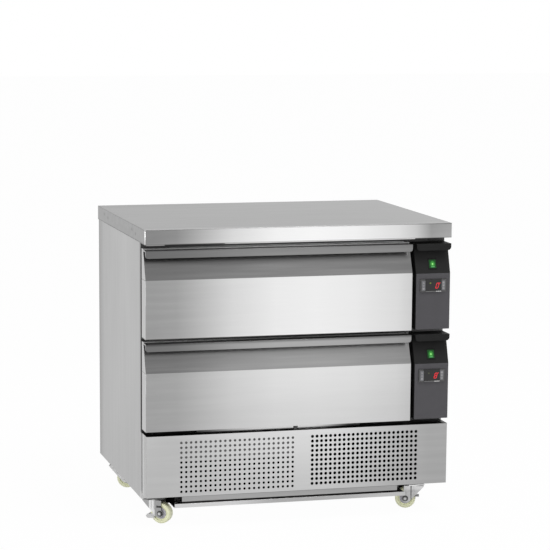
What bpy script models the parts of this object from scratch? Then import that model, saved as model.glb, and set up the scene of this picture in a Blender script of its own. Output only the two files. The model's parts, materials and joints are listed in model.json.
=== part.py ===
"""Refrigerated chef base: two insulated drawers under a folded worktop, on castors.

Metres. +X is to the right seen from the front, -Y is the front and +Z is up.
The origin is on the floor, under the middle of the worktop.
"""

import math

import bmesh
import bpy
from mathutils import Matrix, Vector

# Driving dimensions of the whole
width = 0.900
depth = 0.700
height = 0.850
castor_height = 0.075

# Fits
clearance = 0.0003
cut_overrun = 0.010

# Worktop
worktop_thickness = 0.0415
worktop_edge_radius = 0.0025
worktop_sheet = 0.0015

# Cabinet
side_inset = 0.001
back_inset = 0.009
cabinet_setback = 0.062
sheet = 0.0012
side_flange = 0.018
frame_sheet = 0.002
left_wall = 0.075
right_wall = 0.149
rear_wall = 0.056
cavity_floor_rise = 0.0265
cavity_top_drop = 0.025
liner_sheet = 0.001
seam_width = 0.0015
left_stile = 0.075
right_stile = 0.050
top_rail = 0.036
seam_depth = 0.001

# Fronts
top_gap = 0.017
front_gap = 0.012
grille_lift = 0.014
grille_height = 0.1772
grille_drawer_gap = 0.0123
grille_inset = 0.004
grille_sheet = 0.0015
drawer_inset = 0.002
drawer_front_depth = 0.052
lip_drop = 0.0215
lip_sheet = 0.003
lip_corner_radius = 0.008
recess_depth = 0.033
recess_drop = 0.083
upstand = 0.003
front_sheet = 0.0012
deck_drop = 0.002

# Gaskets
gasket_inset = 0.012
gasket_width = 0.011

# Drawer tubs and runners
tub_sheet = 0.0015
tub_floor_rise = 0.018
tub_top_gap = 0.0294
tub_back_gap = 0.0491
runner_height = 0.046
runner_depth = 0.0125
runner_web = 0.0015
runner_play = 0.0008
runner_tail = 0.0143
runner_rise = 0.060
runner_front_gap = 0.004

# Control panels
control_gap = 0.0125
control_width = 0.1035
control_inset = 0.0015
control_lip_drop = 0.0195
control_recess_drop = 0.086
control_foot_rise = 0.0025
control_wall = 0.0025
control_corner_radius = 0.010
overlay_thickness = 0.0008
overlay_setback = 0.0045
overlay_margin = 0.0008
bezel_width = 0.0785
bezel_height = 0.037
bezel_thickness = 0.004
bezel_drop = 0.0348
controller_body_width = 0.070
controller_body_height = 0.028
controller_body_depth = 0.040
window_width = 0.049
key_width = 0.0105
key_height = 0.028
key_thickness = 0.0024
key_stand = 0.0012
key_pocket = 0.0034
rocker_rise = 0.026
rocker_frame_width = 0.0265
rocker_frame_height = 0.031
rocker_frame_thickness = 0.0015
rocker_width = 0.020
rocker_height = 0.0245
rocker_stand = 0.003
rocker_tail = 0.012

# Base, tray and its guide
base_sheet = 0.0015
base_flange = 0.012
tray_left = 0.0875
tray_right = 0.1315
tray_length = 0.290
tray_height = 0.0115
tray_drop = 0.0045
tray_sheet = 0.001
tray_lip_sheet = 0.0015
tray_lip_overlap = 0.0025
guide_sheet = 0.0012
guide_foot = 0.012
sill_height = 0.0145
sill_left = 0.107
sill_right = 0.1525
sill_setback = 0.004

# Machine compartment
condenser_left = 0.120
condenser_width = 0.270
condenser_setback = 0.030
condenser_thickness = 0.050
condenser_height = 0.165
condenser_seat = 0.0003
fin_count = 9
fin_depth = 0.0015
shroud_thickness = 0.040
shroud_sheet = 0.0015
fan_radius = 0.072
fan_opening_gap = 0.004
fan_hub_radius = 0.020
fan_hub_length = 0.024
fan_blade_thickness = 0.0025
fan_blade_count = 5
fan_blade_chord = 0.045
motor_radius = 0.026
motor_length = 0.040
motor_arm = 0.006
compressor_radius = 0.074
compressor_height = 0.165
compressor_right = 0.175
compressor_back = 0.170
compressor_foot_radius = 0.014
compressor_foot_height = 0.016
compressor_plate_half = 0.078
compressor_plate_thickness = 0.003
pipe_radius = 0.004
pipe_rise = 0.030
pipe_bend = 0.016

# Evaporators
evaporator_width = 0.420
evaporator_thickness = 0.040
evaporator_end_gap = 0.0337
cowl_thickness = 0.022
cowl_sheet = 0.0015
small_fan_hub_length = 0.012
small_motor_radius = 0.0085
small_blade_chord = 0.015

# Castors
castor_left = 0.043
castor_right = 0.0755
castor_rear_left = 0.0345
castor_front = 0.082
castor_rear = 0.154
wheel_radius = 0.030
wheel_width = 0.024
hub_radius = 0.021
hub_recess = 0.003
axle_radius = 0.004
axle_nut_radius = 0.0065
axle_nut_height = 0.004
castor_trail = 0.024
fork_sheet = 0.0022
fork_gap = 0.003
fork_lead = 0.030
fork_lead_drop = 0.002
fork_tail = 0.028
fork_tail_drop = 0.028
fork_boss = 0.0125
fork_boss_lead = 0.0035
fork_top_gap = 0.006
fork_rib_lead = 0.021
fork_rib_width = 0.014
fork_rib_crest = 0.006
fork_rib_height = 0.0025
fork_rib_drop = 0.027
race_radius = 0.019
race_gap = 0.0006
castor_plate_length = 0.060
castor_plate_width = 0.048
castor_plate_thickness = 0.0025
pedal_reach = 0.041
pedal_plate = 0.011
pedal_arm_height = 0.009
pedal_sheet = 0.0016
castor_headings = {"front_left": -34.0, "front_right": 161.0, "rear_left": -25.0, "rear_right": -62.0}
pedal_angles = {"front_left": 14.0, "front_right": -4.0}

# Power inlet and thumb screw
inlet_width = 0.050
inlet_height = 0.032
inlet_stand = 0.004
inlet_side = 0.100
inlet_rise = 0.070
inlet_body_width = 0.032
inlet_body_height = 0.025
inlet_body_depth = 0.026
inlet_wall = 0.0025
thumb_radius = 0.005
thumb_head = 0.005
thumb_shank_radius = 0.0025
thumb_setback = 0.003
thumb_x = -0.011

# Shares of the shapes that curve or taper
rocker_low_share = 0.55
dome_share = 0.45
dome_shares = ((0.82, 0.0), (0.96, 0.35), (1.0, 1.0))
crown_shares = ((1.0, 1.0), (0.93, 0.5), (0.68, 0.12))
rim_share = 0.125
small_fan_share = 0.74
small_hub_share = 0.29

# Angles in degrees
blade_pitch = 28.0
smooth_limit = 35.0
boss_arc_start = 223.0
boss_arc_sweep = 165.0

# Smoothness of round pieces
wheel_steps = 32
round_steps = 24
small_steps = 12
corner_steps = 4
nut_sides = 6

# Places that follow from the sizes above
front_y = -depth / 2
cabinet_front = front_y + cabinet_setback
cabinet_back = depth / 2 - back_inset
side_x = width / 2 - side_inset
inner_side_x = side_x - sheet - clearance
under_top = height - worktop_thickness
grille_bottom = castor_height + grille_lift
grille_top = grille_bottom + grille_height
lower_bottom = grille_top + grille_drawer_gap
drawer_height = (under_top - top_gap - lower_bottom - front_gap) / 2
control_right = width / 2 - control_inset
control_left = control_right - control_width
drawer_left = -width / 2 + drawer_inset
drawer_right = control_left - control_gap
cavity_left = -side_x + left_wall
cavity_right = side_x - right_wall
cavity_back = cabinet_back - rear_wall
deck = lower_bottom - deck_drop
frame_back = cabinet_front + frame_sheet
room_back = cavity_back - clearance - liner_sheet
evaporator_front = room_back - clearance - evaporator_thickness - cowl_thickness
control_face = front_y + overlay_setback + overlay_thickness + clearance
levels = {"upper": lower_bottom + drawer_height + front_gap, "lower": lower_bottom}
inlet_x = side_x - inlet_side
inlet_z = castor_height + inlet_rise


def clear_scene():
    for item in list(bpy.data.objects):
        bpy.data.objects.remove(item, do_unlink=True)


def finish(name, colour, roughness, metallic):
    """A plain Principled material."""
    material = bpy.data.materials.new(name)
    material.use_nodes = True
    shader = material.node_tree.nodes["Principled BSDF"]
    shader.inputs["Base Color"].default_value = (*colour, 1.0)
    shader.inputs["Roughness"].default_value = roughness
    shader.inputs["Metallic"].default_value = metallic
    return material


class Shape:
    """Closed bodies gathered in one mesh."""

    def __init__(self):
        self.mesh = bmesh.new()

    def block(self, x, y, z):
        """A box between the given pairs of limits."""
        size = Matrix.Diagonal((x[1] - x[0], y[1] - y[0], z[1] - z[0], 1.0))
        middle = Matrix.Translation(((x[0] + x[1]) / 2, (y[0] + y[1]) / 2, (z[0] + z[1]) / 2))
        return bmesh.ops.create_cube(self.mesh, size=1.0, matrix=middle @ size)["verts"]

    def prism(self, outline, axis, span):
        """An outline in the two other axes, pushed along one axis."""
        order = {"x": (2, 0, 1), "y": (0, 2, 1), "z": (0, 1, 2)}[axis]
        corners = []
        for first, second in outline:
            place = (first, second, span[0])
            corners.append(self.mesh.verts.new([place[index] for index in order]))
        face = self.mesh.faces.new(corners)
        pushed = bmesh.ops.extrude_face_region(self.mesh, geom=[face])["geom"]
        moved = [item for item in pushed if isinstance(item, bmesh.types.BMVert)]
        step = (0, 0, span[1] - span[0])
        bmesh.ops.translate(self.mesh, verts=moved, vec=[step[index] for index in order])
        return corners + moved

    def ring(self, outer_x, outer_z, inner_x, inner_z, y):
        """A rectangular frame that lies across Y."""
        rows = []
        for place in y:
            for (x0, x1), (z0, z1) in ((outer_x, outer_z), (inner_x, inner_z)):
                corners = ((x0, z0), (x1, z0), (x1, z1), (x0, z1))
                rows.append([self.mesh.verts.new((x, place, z)) for x, z in corners])
        outer_front, inner_front, outer_back, inner_back = rows
        pairs = (
            (outer_front, inner_front),
            (inner_front, inner_back),
            (inner_back, outer_back),
            (outer_back, outer_front),
        )
        for first, second in pairs:
            for index in range(len(first)):
                following = (index + 1) % len(first)
                quad = (first[index], first[following], second[following], second[index])
                self.mesh.faces.new(quad)

    def turned(self, profile, centre, axis, steps):
        """A profile of radius and height pairs, spun about an axis through a centre."""
        axis = Vector(axis).normalized()
        across = axis.orthogonal().normalized()
        verts = [self.mesh.verts.new(Vector(centre) + across * r + axis * h) for r, h in profile]
        edges = [self.mesh.edges.new(pair) for pair in zip(verts, verts[1:])]
        if profile[0][0] > 0:
            edges.append(self.mesh.edges.new((verts[-1], verts[0])))
        spun = bmesh.ops.spin(
            self.mesh,
            geom=verts + edges,
            cent=centre,
            axis=axis,
            angle=math.tau,
            steps=steps,
            use_merge=True,
        )
        bmesh.ops.remove_doubles(self.mesh, verts=self.mesh.verts, dist=clearance / 20)
        return spun

    def rod(self, start, end, radius, steps):
        """A plain cylinder between two points."""
        start = Vector(start)
        along = Vector(end) - start
        self.turned([(0, 0), (radius, 0), (radius, along.length), (0, along.length)], start, along, steps)

    def place(self, matrix):
        bmesh.ops.transform(self.mesh, matrix=matrix, verts=self.mesh.verts)
        return self

    def make(self, name, material=None, origin=(0, 0, 0), turn=0.0, smooth=False):
        """Turns the bodies into an object whose own origin is the given point."""
        bmesh.ops.recalc_face_normals(self.mesh, faces=self.mesh.faces)
        data = bpy.data.meshes.new(name)
        self.mesh.to_mesh(data)
        self.mesh.free()
        if smooth:
            data.shade_smooth()
            data.set_sharp_from_angle(angle=math.radians(smooth_limit))
        if material:
            data.materials.append(material)
        item = bpy.data.objects.new(name, data)
        bpy.context.scene.collection.objects.link(item)
        item.location = origin
        item.rotation_euler = (0, 0, turn)
        return item


def combine(target, tool_shape, operation):
    """Cuts, joins or trims an object with a hidden tool body in the object's own frame."""
    tool = tool_shape.make(f"{target.name}_tool_{len(target.modifiers)}")
    tool.location = target.location
    tool.rotation_euler = target.rotation_euler
    tool.hide_render = True
    tool.display_type = "WIRE"
    change = target.modifiers.new("shape", "BOOLEAN")
    change.operation = operation
    change.solver = "EXACT"
    change.object = tool


def cut_block(target, x, y, z):
    tool = Shape()
    tool.block(x, y, z)
    combine(target, tool, "DIFFERENCE")


def round_edges(shape, verts, radius, chosen):
    """Rounds the edges among the given corners that a test picks."""
    known = set(verts)
    edges = []
    for edge in shape.mesh.edges:
        if edge.verts[0] in known and edge.verts[1] in known and chosen(edge):
            edges.append(edge)
    bmesh.ops.bevel(
        shape.mesh,
        geom=edges,
        offset=radius,
        segments=corner_steps,
        profile=0.5,
        affect="EDGES",
    )


def runs_along(edge, axis):
    """True for an edge that lies along one axis."""
    line = edge.verts[1].co - edge.verts[0].co
    return abs(line[axis]) > line.length * 0.99


def middle(edge):
    return (edge.verts[0].co + edge.verts[1].co) / 2


def build_worktop(steel):
    """Folded top whose pocket takes the foamed body from below."""
    shape = Shape()
    verts = shape.block((-width / 2, width / 2), (front_y, depth / 2), (under_top, height))
    round_edges(shape, verts, worktop_edge_radius, lambda edge: runs_along(edge, 2))
    top = shape.make("worktop", steel)
    pocket_x = inner_side_x + clearance
    pocket_z = (under_top - cut_overrun, height - worktop_sheet)
    cut_block(top, (-pocket_x, pocket_x), (frame_back, cabinet_back), pocket_z)


def build_cabinet(steel, liner_steel, foam):
    """Side, back and front sheets round the foamed body."""
    for name, side in (("side_panel_left", -1), ("side_panel_right", 1)):
        outer = side * side_x
        inner = side * (side_x - sheet)
        lip = side * (side_x - side_flange)
        outline = (
            (outer, cabinet_front),
            (outer, cabinet_back),
            (inner, cabinet_back),
            (inner, cabinet_front + sheet),
            (lip, cabinet_front + sheet),
            (lip, cabinet_front),
        )
        shape = Shape()
        shape.prism(outline, "z", (castor_height, grille_top))
        upper = ((outer, cabinet_front), (outer, cabinet_back), (inner, cabinet_back), (inner, cabinet_front))
        panel = shape.make(name, steel)
        wing = Shape()
        wing.prism(upper, "z", (grille_top - side_flange, under_top - clearance))
        combine(panel, wing, "UNION")

    shape = Shape()
    back_y = (cabinet_back - sheet, cabinet_back)
    shape.block((-inner_side_x, inner_side_x), back_y, (castor_height, under_top - clearance))
    panel = shape.make("back_panel", steel)
    half_w = inlet_body_width / 2 + clearance
    half_h = inlet_body_height / 2 + clearance
    cut_block(panel, (inlet_x - half_w, inlet_x + half_w), (back_y[0] - cut_overrun, back_y[1] + cut_overrun),
              (inlet_z - half_h, inlet_z + half_h))

    shape = Shape()
    frame_z = (grille_top + clearance, under_top - clearance)
    shape.block((-inner_side_x, inner_side_x), (cabinet_front, frame_back), frame_z)
    frame = shape.make("front_frame", steel)
    for bottom in levels.values():
        span = (bottom + cavity_floor_rise, bottom + drawer_height - cavity_top_drop)
        across = (cabinet_front - cut_overrun, frame_back + cut_overrun)
        cut_block(frame, (cavity_left, cavity_right), across, span)
    seams = Shape()
    for place in (-side_x + left_stile, side_x - right_stile):
        seam_x = (place - seam_width / 2, place + seam_width / 2)
        seam_y = (cabinet_front - cut_overrun, cabinet_front + seam_depth)
        seams.block(seam_x, seam_y, (under_top - top_rail, under_top + cut_overrun))
    combine(frame, seams, "DIFFERENCE")

    shape = Shape()
    foam_x = inner_side_x - clearance
    foam_y = (frame_back + clearance, cabinet_back - sheet - clearance)
    shape.block((-foam_x, foam_x), foam_y, (deck, height - worktop_sheet - clearance))
    body = shape.make("body_insulation", foam)
    liners = {}
    for name, bottom in levels.items():
        cavity_z = (bottom + cavity_floor_rise, bottom + drawer_height - cavity_top_drop)
        cut_block(body, (cavity_left, cavity_right), (cabinet_front, cavity_back), cavity_z)
        shell = Shape()
        shell_x = (cavity_left + clearance, cavity_right - clearance)
        shell_y = (frame_back + clearance, cavity_back - clearance)
        shell_z = (cavity_z[0] + clearance, cavity_z[1] - clearance)
        shell.block(shell_x, shell_y, shell_z)
        liner = shell.make(f"liner_{name}", liner_steel)
        room_x = (shell_x[0] + liner_sheet, shell_x[1] - liner_sheet)
        room_y = (shell_y[0] - cut_overrun, shell_y[1] - liner_sheet)
        cut_block(liner, room_x, room_y, (shell_z[0] + liner_sheet, shell_z[1] - liner_sheet))
        liners[name] = liner
    return liners


def lip_corners(lip_low):
    """Test for the two corners at the low edge of an overhanging lip."""
    return lambda edge: runs_along(edge, 1) and abs(middle(edge).z - lip_low) < lip_sheet / 2


def front_outline(bottom, back, lip_top, lip_low, fold, rise):
    """Section of a pull-open front: face, sloping recess and overhanging lip."""
    line = bottom + drawer_height - recess_drop
    return (
        (front_y, bottom),
        (front_y, line),
        (front_y + recess_depth, lip_top - fold),
        (front_y + fold, lip_top - fold),
        (front_y + fold, lip_low),
        (front_y, lip_low),
        (front_y, lip_top),
        (front_y + recess_depth, lip_top),
        (front_y + recess_depth, lip_top + rise),
        (back, lip_top + rise),
        (back, bottom),
    )


def cavity_outline(bottom, back, wall, lip_top, rise):
    """The hollow behind the face and the recess, open at the back."""
    line = bottom + drawer_height - recess_drop
    return (
        (front_y + wall, bottom + wall),
        (front_y + wall, line),
        (front_y + recess_depth + wall, lip_top - lip_sheet),
        (front_y + recess_depth + wall, lip_top + rise - wall),
        (back, lip_top + rise - wall),
        (back, bottom + wall),
    )


def build_drawer(name, bottom, liner, steel, foam, rubber, liner_steel, slide_steel):
    """One drawer: skin, insulated inner, gasket, tub and its runners."""
    top = bottom + drawer_height
    back = front_y + drawer_front_depth
    lip_low = top - lip_drop
    shape = Shape()
    outline = front_outline(bottom, back, top, lip_low, lip_sheet, upstand)
    verts = shape.prism(outline, "x", (drawer_left, drawer_right))

    round_edges(shape, verts, lip_corner_radius, lip_corners(lip_low))
    skin = shape.make(f"drawer_front_{name}", steel, smooth=True)
    hollow = Shape()
    inside = cavity_outline(bottom, back + cut_overrun, front_sheet, top, upstand)
    hollow.prism(inside, "x", (drawer_left + front_sheet, drawer_right - front_sheet))
    combine(skin, hollow, "DIFFERENCE")

    shape = Shape()
    wall = front_sheet + clearance
    filled = cavity_outline(bottom, back, wall, top, upstand)
    shape.prism(filled, "x", (drawer_left + wall, drawer_right - wall))
    shape.make(f"drawer_inner_{name}", foam)

    shape = Shape()
    gasket_x = (drawer_left + gasket_inset, drawer_right - gasket_inset)
    gasket_z = (bottom + gasket_inset, top - gasket_inset)
    inner_x = (gasket_x[0] + gasket_width, gasket_x[1] - gasket_width)
    inner_z = (gasket_z[0] + gasket_width, gasket_z[1] - gasket_width)
    shape.ring(gasket_x, gasket_z, inner_x, inner_z, (back + clearance, cabinet_front - clearance))
    shape.make(f"drawer_gasket_{name}", rubber)

    room_left = cavity_left + clearance + liner_sheet
    room_right = cavity_right - clearance - liner_sheet
    floor = bottom + cavity_floor_rise + clearance + liner_sheet
    tub_x = (room_left + runner_depth + clearance, room_right - runner_depth - clearance)
    tub_z = (floor + tub_floor_rise, top - cavity_top_drop - clearance - liner_sheet - tub_top_gap)
    tub_y = (back + clearance, evaporator_front - tub_back_gap)
    shape = Shape()
    shape.block(tub_x, tub_y, tub_z)
    tub = shape.make(f"drawer_tub_{name}", liner_steel)
    inner_y = (tub_y[0] + tub_sheet, tub_y[1] - tub_sheet)
    inner_x = (tub_x[0] + tub_sheet, tub_x[1] - tub_sheet)
    cut_block(tub, inner_x, inner_y, (tub_z[0] + tub_sheet, tub_z[1] + cut_overrun))

    low = floor + runner_rise
    start = frame_back + runner_front_gap
    run = (start, tub_y[1] - runner_tail)
    step = runner_web + runner_play
    for side_name, wall_x, side in (("left", room_left, 1), ("right", room_right, -1)):
        web = side * runner_web
        edge = wall_x + side * (runner_depth - clearance * 2)
        bite = side * liner_sheet / 2
        fixed = Shape()
        fixed.prism(channel(wall_x - bite, edge, low, runner_height, web + bite, runner_web), "y", run)
        combine(liner, fixed, "UNION")
        outer = wall_x + side * step
        slide = Shape()
        slide.prism(channel(outer, edge, low + step, runner_height - 2 * step, web, runner_web), "y", run)
        slide.make(f"runner_{side_name}_{name}", slide_steel)
        outer += side * step
        tub_wall = wall_x + side * (runner_depth + clearance + tub_sheet / 2)
        bar = Shape()
        bar_z = (low + 2 * step, low + runner_height - 2 * step)
        bar.block(tuple(sorted((outer, tub_wall))), run, bar_z)
        combine(tub, bar, "UNION")


def channel(web_x, edge_x, low, tall, web, fold):
    """Section of a C rail, open away from its web."""
    return (
        (web_x, low),
        (edge_x, low),
        (edge_x, low + fold),
        (web_x + web, low + fold),
        (web_x + web, low + tall - fold),
        (edge_x, low + tall - fold),
        (edge_x, low + tall),
        (web_x, low + tall),
    )


def recess_frame(bottom, across):
    """Matrix of the rocker's place on the sloping recess: x across, y outwards, z up the slope."""
    line = bottom + drawer_height - control_recess_drop
    top = bottom + drawer_height - lip_sheet
    slope = Vector((0, front_y + recess_depth - control_face, top - line)).normalized()
    out = Vector((0, -slope.z, slope.y))
    side = Vector((-1, 0, 0))
    centre = Vector((across, control_face, line)) + slope * (rocker_rise / slope.z)
    turn = Matrix((side, out, slope)).transposed().to_4x4()
    return Matrix.Translation(centre) @ turn


def build_control(name, bottom, black, grey, glass, key_grey, green):
    """One control panel: housing, overlay, controller with two key pads, and a rocker switch."""
    foot = bottom + control_foot_rise
    top = bottom + drawer_height
    back = cabinet_front - clearance
    line = top - control_recess_drop
    lip_low = top - control_lip_drop
    across = (control_left + control_right) / 2
    face = control_face
    shape = Shape()
    outline = [
        (face, foot),
        (face, line),
        (front_y + recess_depth, top - lip_sheet),
        (front_y + lip_sheet, top - lip_sheet),
        (front_y + lip_sheet, lip_low),
        (front_y, lip_low),
        (front_y, top),
        (back, top),
        (back, foot),
    ]
    verts = shape.prism(outline, "x", (control_left, control_right))

    round_edges(shape, verts, control_corner_radius, lip_corners(lip_low))
    housing = shape.make(f"control_housing_{name}", black, smooth=True)
    hollow = Shape()
    inside = (
        (face + control_wall, foot + control_wall),
        (face + control_wall, line),
        (front_y + recess_depth + control_wall, top - lip_sheet),
        (back + cut_overrun, top - lip_sheet),
        (back + cut_overrun, foot + control_wall),
    )
    hollow.prism(inside, "x", (control_left + control_wall, control_right - control_wall))
    combine(housing, hollow, "DIFFERENCE")
    bezel_z = line - bezel_drop
    half_w = controller_body_width / 2 + clearance
    half_h = controller_body_height / 2 + clearance
    hole_y = (face - cut_overrun, face + cut_overrun)
    cut_block(housing, (across - half_w, across + half_w), hole_y, (bezel_z - half_h, bezel_z + half_h))

    seat = recess_frame(bottom, across)
    hole = Shape()
    hole_x = rocker_width / 2 + clearance * 2
    hole_z = rocker_height / 2 + clearance * 2
    hole.block((-hole_x, hole_x), (-cut_overrun, cut_overrun), (-hole_z, hole_z))
    hole.place(seat)
    combine(housing, hole, "DIFFERENCE")
    rim = Shape()
    rim_x = rocker_frame_width / 2
    rim_z = rocker_frame_height / 2
    rim_y = (-control_wall / 2, rocker_frame_thickness)
    rim.ring((-rim_x, rim_x), (-rim_z, rim_z), (-hole_x, hole_x), (-hole_z, hole_z), rim_y)
    rim.place(seat)
    combine(housing, rim, "UNION")

    shape = Shape()
    plate_x = (control_left + overlay_margin, control_right - overlay_margin)
    plate_y = (front_y + overlay_setback, front_y + overlay_setback + overlay_thickness)
    cut_w = bezel_width / 2 + clearance
    cut_h = bezel_height / 2 + clearance
    window_x = (across - cut_w, across + cut_w)
    window_z = (bezel_z - cut_h, bezel_z + cut_h)
    shape.ring(plate_x, (foot, line), window_x, window_z, plate_y)
    shape.make(f"control_overlay_{name}", grey)

    shape = Shape()
    front = face - clearance - bezel_thickness
    half_w = bezel_width / 2
    half_h = bezel_height / 2
    bezel_y = (front, face - clearance)
    shape.block((across - half_w, across + half_w), bezel_y, (bezel_z - half_h, bezel_z + half_h))
    controller = shape.make(f"controller_{name}", glass)
    body = Shape()
    half_w = controller_body_width / 2
    half_h = controller_body_height / 2
    body_y = (face - bezel_thickness / 2, face + controller_body_depth)
    body.block((across - half_w, across + half_w), body_y, (bezel_z - half_h, bezel_z + half_h))
    combine(controller, body, "UNION")
    key_step = (window_width + key_width) / 2 + clearance
    for side_name, side in (("left", -1), ("right", 1)):
        key_x = across + side * key_step
        pocket_x = key_width / 2 + clearance
        pocket_z = key_height / 2 + clearance
        pocket_y = (front - cut_overrun, front + key_pocket - key_stand)
        cut_block(controller, (key_x - pocket_x, key_x + pocket_x), pocket_y,
                  (bezel_z - pocket_z, bezel_z + pocket_z))
        key = Shape()
        key.block((-key_width / 2, key_width / 2), (-key_stand, key_thickness - key_stand),
                  (-key_height / 2, key_height / 2))
        key.make(f"key_{side_name}_{name}", key_grey, origin=(key_x, front, bezel_z))

    shape = Shape()
    half_x = rocker_width / 2
    half_z = rocker_height / 2
    outline = (
        (-half_z, 0),
        (-half_z, rocker_stand),
        (0, rocker_stand * rocker_low_share),
        (half_z, rocker_stand * rocker_low_share),
        (half_z, 0),
        (rocker_tail / 2, -rocker_tail),
        (-rocker_tail / 2, -rocker_tail),
    )
    flipped = [(height_out, along) for along, height_out in outline]
    shape.prism(flipped, "x", (-half_x, half_x))
    turn = seat.copy()
    turn.translation = Vector((0, 0, 0))
    shape.place(turn)
    shape.make(f"rocker_{name}", green, origin=seat.translation)


def build_base(steel, zinc):
    """Base pan, tray guide with its front sill, and the tray."""
    shape = Shape()
    pan_y = (cabinet_front + sheet + clearance, cabinet_back - sheet - clearance)
    pan_x = (-inner_side_x, inner_side_x)
    shape.block(pan_x, pan_y, (castor_height, castor_height + base_flange))
    pan = shape.make("base_pan", zinc)
    room_x = (pan_x[0] + base_sheet, pan_x[1] - base_sheet)
    room_y = (pan_y[0] + base_sheet, pan_y[1] - base_sheet)
    cut_block(pan, room_x, room_y, (castor_height + base_sheet, castor_height + base_flange + cut_overrun))

    tray_x = (-width / 2 + tray_left, width / 2 - tray_right)
    guide_top = castor_height - clearance
    guide_y = (cabinet_front, front_y + sill_setback + tray_length)
    tray_top = guide_top - guide_sheet - clearance - tray_drop
    tray_low = tray_top - tray_height
    foot_top = tray_low - clearance
    guide_x = (tray_x[0] - clearance - guide_sheet, tray_x[1] + clearance + guide_sheet)
    outline = (
        (guide_x[0], foot_top - guide_sheet),
        (guide_x[0] + guide_foot, foot_top - guide_sheet),
        (guide_x[0] + guide_foot, foot_top),
        (guide_x[0] + guide_sheet, foot_top),
        (guide_x[0] + guide_sheet, guide_top - guide_sheet),
        (guide_x[1] - guide_sheet, guide_top - guide_sheet),
        (guide_x[1] - guide_sheet, foot_top),
        (guide_x[1] - guide_foot, foot_top),
        (guide_x[1] - guide_foot, foot_top - guide_sheet),
        (guide_x[1], foot_top - guide_sheet),
        (guide_x[1], guide_top),
        (guide_x[0], guide_top),
    )
    shape = Shape()
    shape.prism(outline, "y", guide_y)
    guide = shape.make("tray_guide", steel)
    sill = Shape()
    sill_x = (-width / 2 + sill_left, width / 2 - sill_right)
    sill_front = front_y + sill_setback
    sill_low = guide_top - guide_sheet
    section = (
        (sill_front, sill_low),
        (guide_y[0] + guide_foot, sill_low),
        (guide_y[0] + guide_foot, guide_top),
        (sill_front + guide_sheet, guide_top),
        (sill_front + guide_sheet, sill_low + sill_height),
        (sill_front, sill_low + sill_height),
    )
    sill.prism(section, "x", sill_x)
    combine(guide, sill, "UNION")

    shape = Shape()
    tray_y = (front_y + tray_lip_sheet, front_y + tray_lip_sheet + tray_length)
    shape.block(tray_x, tray_y, (tray_low, tray_top))
    tray = shape.make("condensate_tray", steel)
    inner_x = (tray_x[0] + tray_sheet, tray_x[1] - tray_sheet)
    inner_y = (tray_y[0] + tray_sheet, tray_y[1] - tray_sheet)
    cut_block(tray, inner_x, inner_y, (tray_low + tray_sheet, tray_top + cut_overrun))
    lip = Shape()
    lip_x = (tray_x[0] - tray_lip_overlap, tray_x[1] + tray_lip_overlap)
    lip.block(lip_x, (front_y, front_y + tray_lip_sheet * 2), (tray_low, tray_top))
    combine(tray, lip, "UNION")


def build_grille(steel):
    """Folded panel in front of the machine compartment."""
    shape = Shape()
    half = width / 2 - grille_inset
    panel_y = (front_y, cabinet_front - clearance)
    shape.block((-half, half), panel_y, (grille_bottom, grille_top))
    panel = shape.make("grille_panel", steel)
    room = half - grille_sheet
    room_y = (front_y + grille_sheet, cabinet_front + cut_overrun)
    cut_block(panel, (-room, room), room_y, (grille_bottom + grille_sheet, grille_top - grille_sheet))


def build_screw(zinc):
    """Thumb screw above the grille panel, on a long shank from the cabinet frame."""
    shape = Shape()
    place_z = grille_top + grille_drawer_gap / 2
    head_y = front_y + thumb_setback
    root_y = cabinet_front - clearance
    profile = (
        (0, 0),
        (thumb_radius, 0),
        (thumb_radius, thumb_head),
        (thumb_shank_radius, thumb_head),
        (thumb_shank_radius, root_y - head_y),
        (0, root_y - head_y),
    )
    shape.turned(profile, (thumb_x, head_y, place_z), (0, 1, 0), round_steps)
    shape.make("thumb_screw", zinc, origin=(0, 0, 0), smooth=True)


def build_fan(name, plastic, centre, radius, hub_radius, hub_length, chord):
    """A hub with pitched blades, joined in one piece, that turns about Y."""
    hub = Shape()
    hub.rod((0, -hub_length / 2, 0), (0, hub_length / 2, 0), hub_radius, round_steps)
    fan = hub.make(name, plastic, origin=centre)
    for index in range(fan_blade_count):
        blade = Shape()
        half = fan_blade_thickness / 2
        blade.block((-chord / 2, chord / 2), (-half, half), (hub_radius / 2, radius))
        blade.place(Matrix.Rotation(math.radians(blade_pitch), 4, "Z"))
        blade.place(Matrix.Rotation(math.tau * index / fan_blade_count, 4, "Y"))
        combine(fan, blade, "UNION")
    return fan


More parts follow.
